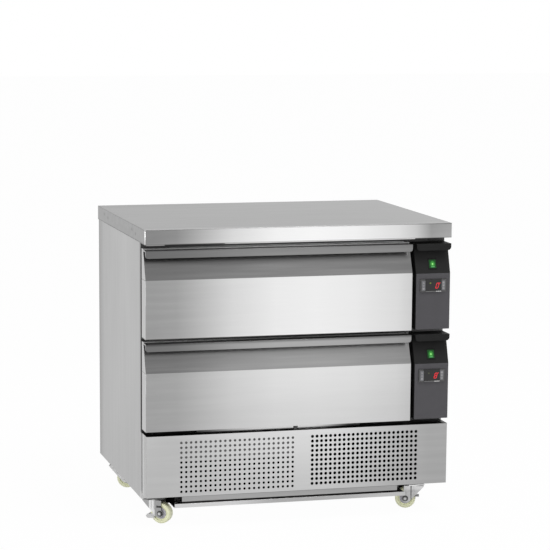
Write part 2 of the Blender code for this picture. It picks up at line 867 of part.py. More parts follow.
def build_machine(copper, black, alloy):
    """Condenser with its shroud and fan, compressor and delivery pipe."""
    floor = castor_height + base_sheet + clearance
    left = -width / 2 + condenser_left
    right = left + condenser_width
    coil_y = (cabinet_front + condenser_setback, cabinet_front + condenser_setback + condenser_thickness)
    coil_z = (floor + condenser_seat, floor + condenser_seat + condenser_height)
    middle_x = (left + right) / 2
    middle_z = (coil_z[0] + coil_z[1]) / 2
    shroud_y = (coil_y[1] - shroud_sheet, coil_y[1] + shroud_thickness)
    shape = Shape()
    shape.block((left, right), shroud_y, coil_z)
    shroud = shape.make("condenser", alloy)
    wall = shroud_sheet
    cut_block(shroud, (left + wall, right - wall), (shroud_y[0] - cut_overrun, shroud_y[1] - wall),
              (coil_z[0] + wall, coil_z[1] - wall))
    opening = Shape()
    opening_radius = fan_radius + fan_opening_gap
    opening.rod((middle_x, shroud_y[1] - cut_overrun, middle_z), (middle_x, shroud_y[1] + cut_overrun, middle_z),
                opening_radius, round_steps)
    combine(shroud, opening, "DIFFERENCE")
    motor = Shape()
    motor_y = shroud_y[1] + fan_hub_length / 2 + clearance
    fan_y = shroud_y[1]
    motor.rod((middle_x, motor_y, middle_z), (middle_x, motor_y + motor_length, middle_z), motor_radius, round_steps)
    combine(shroud, motor, "UNION")
    arm_reach = opening_radius + motor_arm
    arm = Shape()
    bridge_y = (motor_y + motor_arm, motor_y + motor_arm * 2)
    arm.block((middle_x - arm_reach, middle_x + arm_reach), bridge_y,
              (middle_z - motor_arm / 2, middle_z + motor_arm / 2))
    combine(shroud, arm, "UNION")
    for side in (-1, 1):
        leg = Shape()
        outer = middle_x + side * arm_reach
        leg_x = tuple(sorted((outer, outer - side * motor_arm)))
        leg.block(leg_x, (shroud_y[1] - wall / 2, bridge_y[1]), (middle_z - motor_arm / 2, middle_z + motor_arm / 2))
        combine(shroud, leg, "UNION")
    coil = Shape()
    coil.block((left, right), coil_y, coil_z)
    combine(shroud, coil, "UNION")
    grooves = Shape()
    pitch = condenser_width / (fin_count + 1)
    for index in range(fin_count):
        place = left + pitch * (index + 1)
        groove_y = (coil_y[0] - cut_overrun, coil_y[0] + fin_depth)
        grooves.block((place - fin_depth, place + fin_depth), groove_y,
                      (coil_z[0] + fin_depth * 4, coil_z[1] - fin_depth * 4))
    combine(shroud, grooves, "DIFFERENCE")
    build_fan("condenser_fan", black, (middle_x, fan_y, middle_z), fan_radius, fan_hub_radius,
              fan_hub_length, fan_blade_chord)

    centre_x = width / 2 - compressor_right
    centre_y = depth / 2 - compressor_back
    foot_low = floor
    plate_low = foot_low + compressor_foot_height
    shape = Shape()
    radius = compressor_radius
    tall = compressor_height - compressor_foot_height
    dome = radius * dome_share
    profile = [(0, 0)]
    profile += [(radius * across, dome * along) for across, along in dome_shares]
    profile += [(radius * across, tall - dome * along) for across, along in crown_shares]
    profile += [(0, tall)]
    base_z = plate_low + compressor_plate_thickness / 2
    shape.turned(profile, (centre_x, centre_y, base_z), (0, 0, 1), round_steps)
    compressor = shape.make("compressor", black, smooth=True)
    plate = Shape()
    half = compressor_plate_half
    plate.block((centre_x - half, centre_x + half), (centre_y - half, centre_y + half),
                (plate_low, plate_low + compressor_plate_thickness))
    combine(compressor, plate, "UNION")
    feet = Shape()
    for side_x_sign in (-1, 1):
        for side_y_sign in (-1, 1):
            reach = half - compressor_foot_radius
            spot = (centre_x + side_x_sign * reach, centre_y + side_y_sign * reach)
            feet.rod((*spot, foot_low), (*spot, plate_low + compressor_plate_thickness / 2),
                     compressor_foot_radius, small_steps)
    combine(compressor, feet, "UNION")

    build_pipes(copper, centre_x, centre_y, base_z + tall, right, coil_y[0] + condenser_thickness / 2, coil_z)


def build_pipes(copper, centre_x, centre_y, shell_top, coil_right, coil_y, coil_z):
    """Delivery pipe from the top of the compressor to the side of the condenser."""
    high = shell_top + clearance + pipe_bend
    low = coil_z[0] + pipe_rise
    route = (
        (centre_x, centre_y, shell_top + clearance),
        (centre_x, centre_y, high),
        (centre_x - compressor_radius * 2, centre_y, high),
        (centre_x - compressor_radius * 2, centre_y, low),
        (centre_x - compressor_radius * 2, coil_y, low),
        (coil_right + clearance, coil_y, low),
    )
    line = bpy.data.curves.new("refrigerant_pipes", "CURVE")
    line.dimensions = "3D"
    line.bevel_depth = pipe_radius
    line.bevel_resolution = 2
    line.use_fill_caps = True
    spline = line.splines.new("POLY")
    points = rounded_route(route, pipe_bend)
    spline.points.add(len(points) - 1)
    for point, place in zip(spline.points, points):
        point.co = (*place, 1.0)
    line.materials.append(copper)
    pipe = bpy.data.objects.new("refrigerant_pipes", line)
    bpy.context.scene.collection.objects.link(pipe)
    return pipe


def rounded_route(route, radius):
    """The route with each corner replaced by a short arc."""
    corners = [Vector(place) for place in route]
    points = [corners[0]]
    for before, corner, after in zip(corners, corners[1:], corners[2:]):
        enter = (before - corner).normalized()
        leave = (after - corner).normalized()
        for step in range(corner_steps + 1):
            share = step / corner_steps
            away_in = enter * radius * (1 - share) ** 2
            away_out = leave * radius * share ** 2
            points.append(corner + away_in + away_out)
    points.append(corners[-1])
    return points


def build_evaporator(name, bottom, alloy, white):
    """Finned coil at the back of a drawer's room, with a fan cowl in front."""
    floor = bottom + cavity_floor_rise + clearance + liner_sheet
    ceiling = bottom + drawer_height - cavity_top_drop - clearance - liner_sheet
    middle_x = (cavity_left + cavity_right) / 2
    middle_z = (floor + ceiling) / 2
    half_w = evaporator_width / 2
    half_h = (ceiling - floor) / 2 - evaporator_end_gap
    coil_y = (evaporator_front + cowl_thickness, room_back - clearance)
    across = (middle_x - half_w, middle_x + half_w)
    tall = (middle_z - half_h, middle_z + half_h)
    shape = Shape()
    shape.block(across, (evaporator_front, coil_y[1]), tall)
    coil = shape.make(f"evaporator_{name}", alloy)
    fan_radius_here = half_h * small_fan_share
    well = Shape()
    well.rod((middle_x, evaporator_front - cut_overrun, middle_z), (middle_x, coil_y[0] - cowl_sheet, middle_z),
             fan_radius_here + fan_opening_gap, round_steps)
    combine(coil, well, "DIFFERENCE")
    fan_y = evaporator_front + small_fan_hub_length
    motor = Shape()
    motor.rod((middle_x, fan_y + small_fan_hub_length / 2 + clearance, middle_z), (middle_x, coil_y[0], middle_z),
              small_motor_radius, small_steps)
    combine(coil, motor, "UNION")
    build_fan(f"evaporator_fan_{name}", white, (middle_x, fan_y, middle_z), fan_radius_here,
              fan_radius_here * small_hub_share, small_fan_hub_length, small_blade_chord)


def build_castor(name, x, y, zinc, cream):
    """A swivel castor; its wheel trails from the swivel axis along the heading."""
    turn = math.radians(castor_headings[name])
    origin = (x, y, 0)
    inner = wheel_width / 2 + fork_gap
    outer = inner + fork_sheet
    fork_low = 2 * wheel_radius + fork_top_gap
    fork_top = fork_low + fork_sheet
    section = (
        (-outer, 0),
        (-inner, 0),
        (-inner, fork_low),
        (inner, fork_low),
        (inner, 0),
        (outer, 0),
        (outer, fork_top),
        (-outer, fork_top),
    )
    shape = Shape()
    shape.prism(section, "x", (-fork_lead - cut_overrun, fork_tail + fork_boss + cut_overrun))
    fork = shape.make(f"castor_fork_{name}", zinc, origin=origin, turn=turn)
    boss_x = castor_trail - fork_boss_lead
    outline = [(-fork_lead, fork_top), (-fork_lead, fork_top - fork_lead_drop)]
    for step in range(corner_steps * 2 + 1):
        angle = math.radians(boss_arc_start + boss_arc_sweep * step / (corner_steps * 2))
        outline.append((boss_x + fork_boss * math.cos(angle), wheel_radius + fork_boss * math.sin(angle)))
    outline += [(fork_tail, fork_top - fork_tail_drop), (fork_tail, fork_top)]
    trim = Shape()
    trim.prism(outline, "y", (-outer - cut_overrun, outer + cut_overrun))
    combine(fork, trim, "INTERSECT")
    for side in (-1, 1):
        rib = Shape()
        rib_x = castor_trail - fork_rib_lead
        root = side * (inner + fork_sheet / 2)
        crest = side * (outer + fork_rib_height)
        rib_section = (
            (rib_x - fork_rib_width / 2, root),
            (rib_x - fork_rib_crest / 2, crest),
            (rib_x + fork_rib_crest / 2, crest),
            (rib_x + fork_rib_width / 2, root),
        )
        rib.prism(rib_section, "z", (fork_top - fork_rib_drop, fork_top - fork_sheet / 2))
        combine(fork, rib, "UNION")
    axle = Shape()
    nut = outer + clearance
    axle.rod((castor_trail, -nut, wheel_radius), (castor_trail, nut, wheel_radius), axle_radius, small_steps)
    combine(fork, axle, "UNION")
    for side in (-1, 1):
        head = Shape()
        start = side * outer
        head.rod((castor_trail, start - side * clearance, wheel_radius),
                 (castor_trail, start + side * axle_nut_height, wheel_radius), axle_nut_radius, nut_sides)
        combine(fork, head, "UNION")
    race = Shape()
    race_top = castor_height - clearance - castor_plate_thickness - race_gap
    race.rod((0, 0, fork_low + fork_sheet / 2), (0, 0, race_top), race_radius, round_steps)
    combine(fork, race, "UNION")

    shape = Shape()
    bore = axle_radius + clearance
    half = wheel_width / 2
    edge = wheel_width * rim_share
    boss = fork_gap - pedal_sheet - clearance * 2
    profile = [
        (bore, -half - boss),
        (axle_nut_radius, -half - boss),
        (axle_nut_radius, -half + hub_recess),
        (hub_radius, -half + hub_recess),
        (hub_radius, -half),
        (wheel_radius - edge, -half),
        (wheel_radius, -half + edge),
        (wheel_radius, half - edge),
        (wheel_radius - edge, half),
        (hub_radius, half),
        (hub_radius, half - hub_recess),
        (axle_nut_radius, half - hub_recess),
        (axle_nut_radius, half + boss),
        (bore, half + boss),
    ]
    shape.turned(profile, (0, 0, 0), (0, 1, 0), wheel_steps)
    place = Matrix.Rotation(turn, 4, "Z") @ Vector((castor_trail, 0, 0))
    centre = (x + place.x, y + place.y, wheel_radius)
    shape.make(f"castor_wheel_{name}", cream, origin=centre, turn=turn, smooth=True)

    if name in pedal_angles:
        build_pedal(name, centre, turn, inner - clearance, zinc)


def build_pedal(name, centre, turn, half_width, zinc):
    """Brake lever between the fork's legs: one arm from the axle, then a foot plate in front of the wheel."""
    half = pedal_arm_height / 2
    tip = -pedal_reach
    root = tip + pedal_plate
    frame = Shape()
    outline = (
        (axle_nut_radius, -half_width),
        (axle_nut_radius, -half_width + pedal_sheet),
        (root, -half_width + pedal_sheet),
        (root, half_width),
        (tip, half_width),
        (tip, -half_width),
    )
    frame.prism(outline, "z", (-half, half))
    tilt = Matrix.Rotation(math.radians(-pedal_angles[name]), 4, "Y")
    frame.place(tilt)
    pedal = frame.make(f"brake_pedal_{name}", zinc, origin=centre, turn=turn)
    trim = Shape()
    wedge = (
        (tip - cut_overrun, -half - cut_overrun),
        (tip - cut_overrun, half - pedal_sheet * 2),
        (root - clearance, half - pedal_sheet),
        (root - clearance, -half - cut_overrun),
    )
    trim.prism(wedge, "y", (-half_width - cut_overrun, half_width + cut_overrun))
    trim.place(tilt)
    combine(pedal, trim, "DIFFERENCE")
    bore = Shape()
    bore.rod((0, -half_width - cut_overrun, 0), (0, 0, 0), axle_radius + clearance, small_steps)
    combine(pedal, bore, "DIFFERENCE")


def build_castors(zinc, cream):
    """Four castors, each under its own mounting plate."""
    front = front_y + castor_front
    rear = depth / 2 - castor_rear
    places = {
        "front_left": (-width / 2 + castor_left, front),
        "front_right": (width / 2 - castor_right, front),
        "rear_left": (-width / 2 + castor_rear_left, rear),
        "rear_right": (width / 2 - castor_right, rear),
    }
    for name, (x, y) in places.items():
        build_castor(name, x, y, zinc, cream)
        half_x = castor_plate_width / 2
        half_y = castor_plate_length / 2
        top = castor_height - clearance
        plate = Shape()
        plate.block((x - half_x, x + half_x), (y - half_y, y + half_y), (top - castor_plate_thickness, top))
        plate.make(f"castor_plate_{name}", zinc)


def build_inlet(black):
    """Appliance inlet in the back panel, with its open socket."""
    shape = Shape()
    half_w = inlet_width / 2
    half_h = inlet_height / 2
    inlet_y = (cabinet_back + clearance, cabinet_back + clearance + inlet_stand)
    shape.block((inlet_x - half_w, inlet_x + half_w), inlet_y, (inlet_z - half_h, inlet_z + half_h))
    inlet = shape.make("power_inlet", black)
    body = Shape()
    half_w = inlet_body_width / 2
    half_h = inlet_body_height / 2
    body_y = (inlet_y[0] - inlet_body_depth, inlet_y[1] - inlet_stand / 2)
    body.block((inlet_x - half_w, inlet_x + half_w), body_y, (inlet_z - half_h, inlet_z + half_h))
    combine(inlet, body, "UNION")
    half_w -= inlet_wall
    half_h -= inlet_wall
    cut_block(inlet, (inlet_x - half_w, inlet_x + half_w), (body_y[0] + inlet_wall, inlet_y[1] + cut_overrun),
              (inlet_z - half_h, inlet_z + half_h))


def main():
    clear_scene()
    steel = finish("brushed_steel", (0.62, 0.62, 0.61), 0.32, 1.0)
    liner_steel = finish("liner_steel", (0.66, 0.66, 0.65), 0.40, 1.0)
    zinc = finish("zinc_plate", (0.68, 0.69, 0.70), 0.38, 1.0)
    foam = finish("white_foam", (0.80, 0.79, 0.74), 0.85, 0.0)
    rubber = finish("grey_gasket", (0.10, 0.10, 0.10), 0.70, 0.0)
    slide_steel = finish("slide_steel", (0.55, 0.56, 0.57), 0.45, 1.0)
    black = finish("black_plastic", (0.020, 0.020, 0.021), 0.45, 0.0)
    grey = finish("grey_overlay", (0.085, 0.085, 0.090), 0.50, 0.0)
    glass = finish("display_black", (0.012, 0.012, 0.014), 0.20, 0.0)
    key_grey = finish("key_grey", (0.30, 0.30, 0.32), 0.50, 0.0)
    green = finish("switch_green", (0.03, 0.55, 0.12), 0.25, 0.0)
    copper = finish("copper_pipe", (0.72, 0.33, 0.18), 0.35, 1.0)
    alloy = finish("fin_alloy", (0.70, 0.71, 0.72), 0.45, 1.0)
    white = finish("white_plastic", (0.75, 0.75, 0.73), 0.50, 0.0)
    cream = finish("cream_wheel", (0.58, 0.58, 0.36), 0.45, 0.0)
    build_worktop(steel)
    liners = build_cabinet(steel, liner_steel, foam)
    for name, bottom in levels.items():
        build_drawer(name, bottom, liners[name], steel, foam, rubber, liner_steel, slide_steel)
        build_control(name, bottom, black, grey, glass, key_grey, green)
        build_evaporator(name, bottom, alloy, white)
    build_grille(steel)
    build_base(steel, zinc)
    build_screw(zinc)
    build_machine(copper, black, alloy)
    build_castors(zinc, cream)
    build_inlet(black)


main()
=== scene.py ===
"""The refrigerated chef base as photographed: finishes, fine shapes, light and camera."""

import json
import math

import bmesh
import bpy
from mathutils import Matrix, Vector


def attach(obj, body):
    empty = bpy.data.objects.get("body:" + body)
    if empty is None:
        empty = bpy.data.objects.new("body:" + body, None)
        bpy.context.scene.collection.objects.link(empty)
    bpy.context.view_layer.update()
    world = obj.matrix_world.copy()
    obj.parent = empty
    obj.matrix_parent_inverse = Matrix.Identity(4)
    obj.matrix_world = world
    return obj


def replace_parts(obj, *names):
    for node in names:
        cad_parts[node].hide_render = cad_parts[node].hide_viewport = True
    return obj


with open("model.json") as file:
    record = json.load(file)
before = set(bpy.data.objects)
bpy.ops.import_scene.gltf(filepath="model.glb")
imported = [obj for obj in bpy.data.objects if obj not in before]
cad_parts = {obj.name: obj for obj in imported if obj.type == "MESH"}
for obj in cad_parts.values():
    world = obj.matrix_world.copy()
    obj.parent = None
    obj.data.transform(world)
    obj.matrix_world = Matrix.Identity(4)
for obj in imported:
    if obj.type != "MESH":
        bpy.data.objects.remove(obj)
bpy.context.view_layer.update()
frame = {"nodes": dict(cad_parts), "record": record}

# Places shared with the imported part, in metres
WIDTH = 0.900
FRONT = -0.350
HEIGHT = 0.850
SLAB_FOOT = 0.8085
SEAM = 0.3736
LEVELS = {"upper": 0.541, "lower": 0.2785}
FACE_RISE = 0.1675
LIP_RISE = 0.2505
CORNERS = ("front_left", "front_right", "rear_left", "rear_right")

# How far a thin piece stays off what it lies against
AIR = 0.0003

# How much of a face's direction makes it a side or a front, from none to all, and a top
TURNED = (0.5, 0.9)
UPWARDS = 0.8

# Worktop: where its painted light and shade change, its dimples by depth and height, and how long and tall
# they are drawn out
TOP_NEAR = (FRONT, FRONT + 0.05)
TOP_REAR_SHADE = (0.20, 0.35)
RIM_SHADE = 0.0022
CREASE_SHADE = 0.0018
CORNER = (0.25, 0.45, 0.80, 0.92)
SLAB_RISE = (0.820, 0.845)
SLAB_FOOT_SHADE = (SLAB_FOOT, SLAB_FOOT + 0.0030)
SLAB_SIDE_SHADE = (SLAB_FOOT + 0.0022, SLAB_FOOT + 0.0036)
DIMPLES = ((0.243, 0.8345), (0.187, 0.8290), (-0.174, 0.8335), (-0.223, 0.8265))
DIMPLE_RADIUS = (0.0012, 0.0028)
DIMPLE_LONG = 5.0
DIMPLE_TALL = 2.2

# Side panels: where the plain tone's painted shade changes by height and depth, and the fold beside the
# fronts with its painted light and shade
SIDE_LOW = (0.10, 0.40)
SIDE_REAR = (0.05, 0.30)
SIDE_BACK = (0.26, 0.34)
FOLD_DEPTH = (-0.280, -0.274)
FOLD_FOOT = (0.090, 0.102)
FOLD_TOP = 0.268

# Drawer fronts: recess in the lip's shade, lip, ledge behind it in painted shade, upstand, the ledge's end at
# the seam, the flank's line, and the slope of the painted shadow at the foot
SHADE_RISE = (0.2130, 0.2230)
SHADE_END = 0.325
LIP_DEPTH = 0.0012
LIP_FOOT = 0.030
LEDGE_DEPTH = (0.008, 0.014)
LEDGE_DIM = (-0.24, -0.14)
UPSTAND_DEPTH = 0.030
UPSTAND_FOOT = LIP_RISE - 0.0005
STEP_DEPTH = 0.0325
BACK_SHADE_DEPTH = (0.036, 0.041)
SEAM_HALF = 0.0014
FLANK_LINE = 0.001
FOOT_SLOPE = 0.0015

# Drawer fronts: each part's tone where the painted reflection band is dark and where it is light, the recess
# and lip painted darker as shade, then the lip's edge darkened as painted shade and the painted shadow line
# at the foot
FRONT_TONES = {
    "upper": {"face": (156, 244), "foot": (156, 243), "recess": (100, 117), "shade": (140, 176),
              "lip": (110, 138), "ledge": (190, 252), "upstand": (190, 252)},
    "lower": {"face": (162, 230), "foot": (162, 216), "recess": (108, 148), "shade": (156, 208),
              "lip": (112, 174), "ledge": (110, 110), "upstand": (176, 130)},
}
LIP_EDGE_SHADE = {"upper": (0.0035, 0.35), "lower": (0.0090, 0.66)}
FOOT_SHADOW = {"upper": 0.0020, "lower": 0.0}

# How the painted reflection band lies across the fronts, as shares of the width
REFLECTION_BAND = ((0.03, 0.0), (0.10, 0.05), (0.15, 0.20), (0.28, 0.66), (0.42, 0.94), (0.55, 1.0), (0.68, 0.93),
        (0.82, 0.72), (0.88, 0.50), (0.93, 0.12), (1.0, 0.20))

# Vent panel: where its painted light and shade change, and for each field of holes the first and last column,
# the lowest and highest row, and the radius
VENT_FACE = (0.089, 0.267)
VENT_FADE = (0.06, 0.43)
VENT_FLANK = (-0.318, -0.302)
VENT_LEDGE_LIGHT = (-0.30, -0.10, 0.06, 0.16)
VENT_LEDGE_DEPTH = (FRONT + 0.004, FRONT + 0.016)
HOLE_FIELDS = ((-0.3457, -0.0191, 0.1035, 0.2450, 0.0037), (0.0392, 0.3510, 0.1079, 0.2457, 0.0045))
COLUMNS = 24
ROWS = 11
HOLE_SIDES = 16
VENT_SHEET = 0.0013
VENT_FOLD = 0.0012

# Front frame: where painted light lies in its top, middle and low gap, the heights between them, and its ends
# in painted shade
TOP_GAP_LIGHT = (-0.33, -0.13, 0.22, 0.34)
MIDDLE_GAP_FADE = (-0.22, -0.02)
LOW_GAP_LIGHT = (-0.33, -0.19, 0.08, 0.14)
TOP_GAP_FOOT = 0.70
LOW_GAP_TOP = 0.35
CONTROL_START = 0.3987
STILE_END = -0.425

# Tray and hems: where they are dim or light
TRAY_DIM = (-0.22, -0.06, 0.10, 0.26)
HEM_FADE = (-0.34, -0.09)
FOOT_LIGHT = (-0.32, -0.10, 0.03, 0.16)
FOOT_RISE = (0.2727, 0.2767)

# Drawer hems: how far behind the front, how tall or how far down, and the lower one's ends
UPPER_HEM_DEPTH = (0.0465, 0.0490)
UPPER_HEM_TALL = 0.0012
LOWER_HEM_DEPTH = (0.0020, 0.0032)
LOWER_HEM_DROP = 0.0058
LOWER_HEM_ENDS = (-0.300, 0.180)

# Worktop hems: both ends, depth and drop of each, and how thick they are
WORKTOP_HEMS = ((-0.4430, -0.3915, 0.010, 0.0038), (-0.2200, 0.3400, 0.004, 0.0022))
WORKTOP_HEM_SHEET = 0.002

# Behind the vent panel: the coil's cover strip and a dark mat that stands in for the shade behind the holes
COVER_DEPTH = 0.0050
COVER_ROWS = 3.9
COVER_REACH = (0.008, 0.010)
COVER_SHELF = 0.030
MAT_DEPTH = (0.0075, 0.0095)
MAT_MARGIN = 0.004

# Castor trim: where it starts and ends outwards from the wheel's middle, its radius and its sides
WASHER = (0.0172, 0.0179, 0.0084, 24)
BOLT_END = (0.0202, 0.0226, 0.0034, 12)
HUB_COVER = (0.0091, 0.0100, 0.0165, 32)

# Front forks: where painted light and shade change at the bend, edge, shaded patch, top and rib, by their
# place along or up the fork, and the nut's rings
FORK_BEND = (-0.0165, -0.0150)
FORK_EDGE = (-0.0340, -0.0325)
FORK_SHADE_PATCH = (-0.0030, 0.0075, 0.0200, 0.0030)
FORK_TOP = (0.022, 0.032)
FORK_RIB = (-0.0198, -0.0188, -0.0158, -0.0148)
NUT_MIDDLE = (0.0030, 0.0040)
NUT_EDGE = (0.0056, 0.0062)
NUT_RING = (0.0084, 0.0092)

# Dark plates that stand in for the shade behind the front castors: where they start, thickness, drop, and how
# far from the base's sides
SHADE_PLATE_FRONT = -0.205
SHADE_PLATE_THICK = 0.004
SHADE_PLATE_DROP = 0.037
SHADE_PLATE_MARGIN = (0.072, 0.050)
GUIDE_SHADE_PLATE_LONG = 0.080

# Front left brake pedal: how far it is pressed, and the outline of its cheeks round the axle
PEDAL_TILT = 14.0
PEDAL_HALF = 0.0163
PEDAL_SHEET = 0.0016
PEDAL_CHEEK = ((-0.0335, 0.0054), (-0.0390, 0.0056), (-0.0440, 0.0020), (-0.0430, -0.0030),
               (-0.0395, -0.0062), (-0.0270, -0.0088), (-0.0165, -0.0107), (-0.0200, -0.0052))

# Thumb screw, and the half width that the lower drawer's hem leaves free for it
THUMB_X = -0.011
THUMB_HALF = 0.0066

# Back panel's screws and the inlet's pins
SCREW_RADIUS = 0.0046
SCREW_TOP_RADIUS = 0.0036
SCREW_STAND = 0.0016
SCREW_MARGIN = (0.020, 0.016)
SLOT_HALF = (0.0026, 0.0004)
PIN_PLACES = ((-0.0070, 0.0), (0.0, -0.0028), (0.0070, 0.0))
PIN_HALF = (0.0010, 0.0020)

# Displays: the figure that each one shows, and its strokes
FIGURES = {"upper": "0", "lower": "8"}
STROKES = {"0": "abcdef", "8": "abcdefg"}
STROKE_PLACES = {
    "a": (0.0, 0.5, True), "b": (0.5, 0.25, False), "c": (0.5, -0.25, False), "d": (0.0, -0.5, True),
    "e": (-0.5, -0.25, False), "f": (-0.5, 0.25, False), "g": (0.0, 0.0, True),
}
FIGURE_TALL = 0.0146
FIGURE_WIDE = 0.0070
FIGURE_STROKE = 0.0022
FIGURE_SLANT = 0.28
FIGURE_HALF_DEPTH = 0.00015

# Displays: the window's margins, the foot and top of the painted highlight along the bezel, its bright
# glint's length, and the bezel's grey edge
WINDOW_GAP = 0.0016
WINDOW_FOOT = 0.0032
WINDOW_TOP = 0.0016
LINE_RISE = (0.0006, 0.0028)
GLINT_LONG = 0.0155
BEZEL_EDGE = (0.0245, 0.0262)

# Rocker switches: half sizes of the glow and of the pale bar, and the bar's drop
GLOW_HALF = (0.0070, 0.0085)
GLOW_CORE = (0.0, 0.16)
GLOW_FADE = (0.05, 1.5)
BAR_HALF = (0.0058, 0.0009)
BAR_DROP = 0.0078

# Signs on the key pads
SIGN_RADIUS = 0.0030
SIGN_DEPTH = 0.0003
RING_WIDTH = 0.0010
RING_HOLLOW = 0.0002

# Merging and rounding of a node's own mesh; a larger face than FLAT_AREA is shaded flat
MERGE = 0.00002
FOLD_ANGLE = 30.0
SMOOTH_ANGLE = 40.0
FLAT_AREA = 0.0006

# Camera of the photograph, in millimetres, degrees and metres
SENSOR = 36.0
LENS = 143.15
SHIFT = (0.0745, 0.111)
YAW, PITCH, ROLL = 14.18, 9.14, 0.23
EYE = (-1.683, -6.244, 1.523)

# Stage: lamps by place, size and power, what they aim at, and how white floor and world are
STUDIO_LAMPS = {"key_lamp": ((1.0, -2.2, 5.2), 2.0, 120.0), "low_lamp": ((-3.6, -3.9, 0.95), 1.9, 60.0)}
LAMP_AIM = (0.0, 0.0, 0.4)
FLOOR_SIZE = 30.0
FLOOR_GLOW = 0.975
WORLD_DIM = 0.62
WHITE = (1.0, 1.0, 1.0)


def linear(level):
    """A screen grey or channel of 0 to 255 as a linear value."""
    share = level / 255
    return share / 12.92 if share <= 0.04045 else ((share + 0.055) / 1.055) ** 2.4


def grey(level):
    return (linear(level),) * 3


def rgb(red, green, blue):
    return (linear(red), linear(green), linear(blue))


class Value:
    """A number in a node tree; sums and products of values add their Math nodes."""

    def __init__(self, owner, socket):
        self.owner = owner
        self.socket = socket

    def math(self, operation, *others, clamp=False):
        node = self.owner.node("ShaderNodeMath", {"operation": operation, "use_clamp": clamp}, self, *others)
        return Value(self.owner, node.outputs[0])

    def __add__(self, other):
        return self.math("ADD", other)

    def __sub__(self, other):
        return self.math("SUBTRACT", other)

    def __mul__(self, other):
        return self.math("MULTIPLY", other)

    def __truediv__(self, other):
        return self.math("DIVIDE", other)

    def __rsub__(self, other):
        node = self.owner.node("ShaderNodeMath", {"operation": "SUBTRACT"}, other, self)
        return Value(self.owner, node.outputs[0])

    __radd__ = __add__
    __rmul__ = __mul__

    def above(self, limit):
        return self.math("GREATER_THAN", limit)

    def below(self, limit):
        return self.math("LESS_THAN", limit)

    def size(self):
        return self.math("ABSOLUTE")

    def root(self):
        return self.math("SQRT")

    def clamped(self):
        return self.math("ADD", 0.0, clamp=True)

    def near(self, middle, reach):
        """1 within a reach of a place."""
        return (self - middle).size().below(reach)

    def between(self, start, end):
        """0 at start and 1 at end, held outside them, with soft ends."""
        settings = {"interpolation_type": "SMOOTHSTEP", "clamp": True}
        node = self.owner.node("ShaderNodeMapRange", settings, self, start, end, 0.0, 1.0)
        return Value(self.owner, node.outputs[0])

    def hill(self, start, top_start, top_end, end):
        """1 along the top and 0 outside start and end, with soft slopes."""
        return self.between(start, top_start) * (1.0 - self.between(top_end, end))


class Nodes:
    """A node tree that adds each node with its settings and the values or links of its sockets."""

    def __init__(self, tree):
        self.tree = tree

    def node(self, kind, settings=None, *values, **named):
        node = self.tree.nodes.new(kind)
        for key, value in (settings or {}).items():
            if key == "stops":
                self.set_stops(node.color_ramp, value)
            else:
                setattr(node, key, value)
        for index, value in enumerate(values):
            self.plug(node.inputs[index], value)
        for key, value in named.items():
            self.plug(node.inputs[key.replace("_", " ")], value)
        return node

    def set_stops(self, ramp, stops):
        while len(ramp.elements) < len(stops):
            ramp.elements.new(1.0)
        for element, (place, value) in zip(ramp.elements, stops):
            element.position = place
            element.color = (value, value, value, 1.0)

    def plug(self, socket, value):
        """Links a socket to a value or another socket, or sets it to a number or colour."""
        if isinstance(value, Value):
            value = value.socket
        if isinstance(value, bpy.types.NodeSocket):
            self.tree.links.new(value, socket)
        elif isinstance(value, (tuple, list)) and len(value) == 3 and socket.type == "RGBA":
            socket.default_value = (*value, 1.0)
        else:
            socket.default_value = value


class Finish(Nodes):
    """One Principled material whose varying inputs come from nodes."""

    def __init__(self, name, colour=(0.5, 0.5, 0.5), roughness=0.5, metallic=0.0, **constants):
        self.material = bpy.data.materials.new(name)
        self.material.use_nodes = True
        super().__init__(self.material.node_tree)
        self.shader = self.tree.nodes["Principled BSDF"]
        self.shader.inputs["Base Color"].default_value = (*colour, 1.0)
        self.shader.inputs["Roughness"].default_value = roughness
        self.shader.inputs["Metallic"].default_value = metallic
        for key, value in constants.items():
            self.shader.inputs[key.replace("_", " ").title().replace("Ior", "IOR")].default_value = value
        self.coordinates = self.node("ShaderNodeTexCoord")
        self.spot = self.coordinates.outputs["Object"]

    def axes(self, socket=None):
        """The three parts of a vector, by default the place on the object."""
        node = self.node("ShaderNodeSeparateXYZ", None, socket or self.spot)
        return [Value(self, output) for output in node.outputs]

    def facing(self):
        """The three parts of the surface's own direction."""
        return self.axes(self.coordinates.outputs["Normal"])

    def noise(self, scales, detail=2.0, rough=0.5):
        mapping = self.node("ShaderNodeMapping", {"vector_type": "POINT"}, Vector=self.spot, Scale=scales)
        node = self.node("ShaderNodeTexNoise", {"noise_dimensions": "3D"}, Vector=mapping.outputs[0],
                         Scale=1.0, Detail=detail, Roughness=rough)
        return Value(self, node.outputs[0])

    def cloud(self, scale):
        """A soft drift from 0 to 1 that is the same size along each axis."""
        return self.noise((scale, scale, scale)).between(0.3, 0.7)

    def ramp(self, value, stops):
        node = self.node("ShaderNodeValToRGB", {"stops": stops}, value)
        return Value(self, node.outputs[0])

    def mix(self, share, first, second):
        """The first colour where share is 0, the second where it is 1."""
        node = self.node("ShaderNodeMix", {"data_type": "RGBA"})
        for index, value in ((0, share), (6, first), (7, second)):
            self.plug(node.inputs[index], value)
        return node.outputs[2]

    def feed(self, **inputs):
        """Links what varies over the surface to the shader."""
        for key, value in inputs.items():
            self.plug(self.shader.inputs[key.replace("_", " ")], value)

    def bump(self, height, strength, distance):
        node = self.node("ShaderNodeBump", None, Height=height, Strength=strength, Distance=distance)
        self.feed(Normal=node.outputs[0])
        return self


def reflection_band(finish):
    """The painted reflection band that lies across the fronts."""
    x = finish.axes()[0]
    return finish.ramp(x / WIDTH + 0.5, REFLECTION_BAND)


def grain(finish, along):
    """Fine brush marks along one axis, and a slower drift in tone."""
    fine = [9.0 if axis == along else 1400.0 for axis in "xyz"]
    slow = [3.0 if axis == along else 60.0 for axis in "xyz"]
    return finish.noise(fine, 3.0, 0.6), finish.noise(slow)


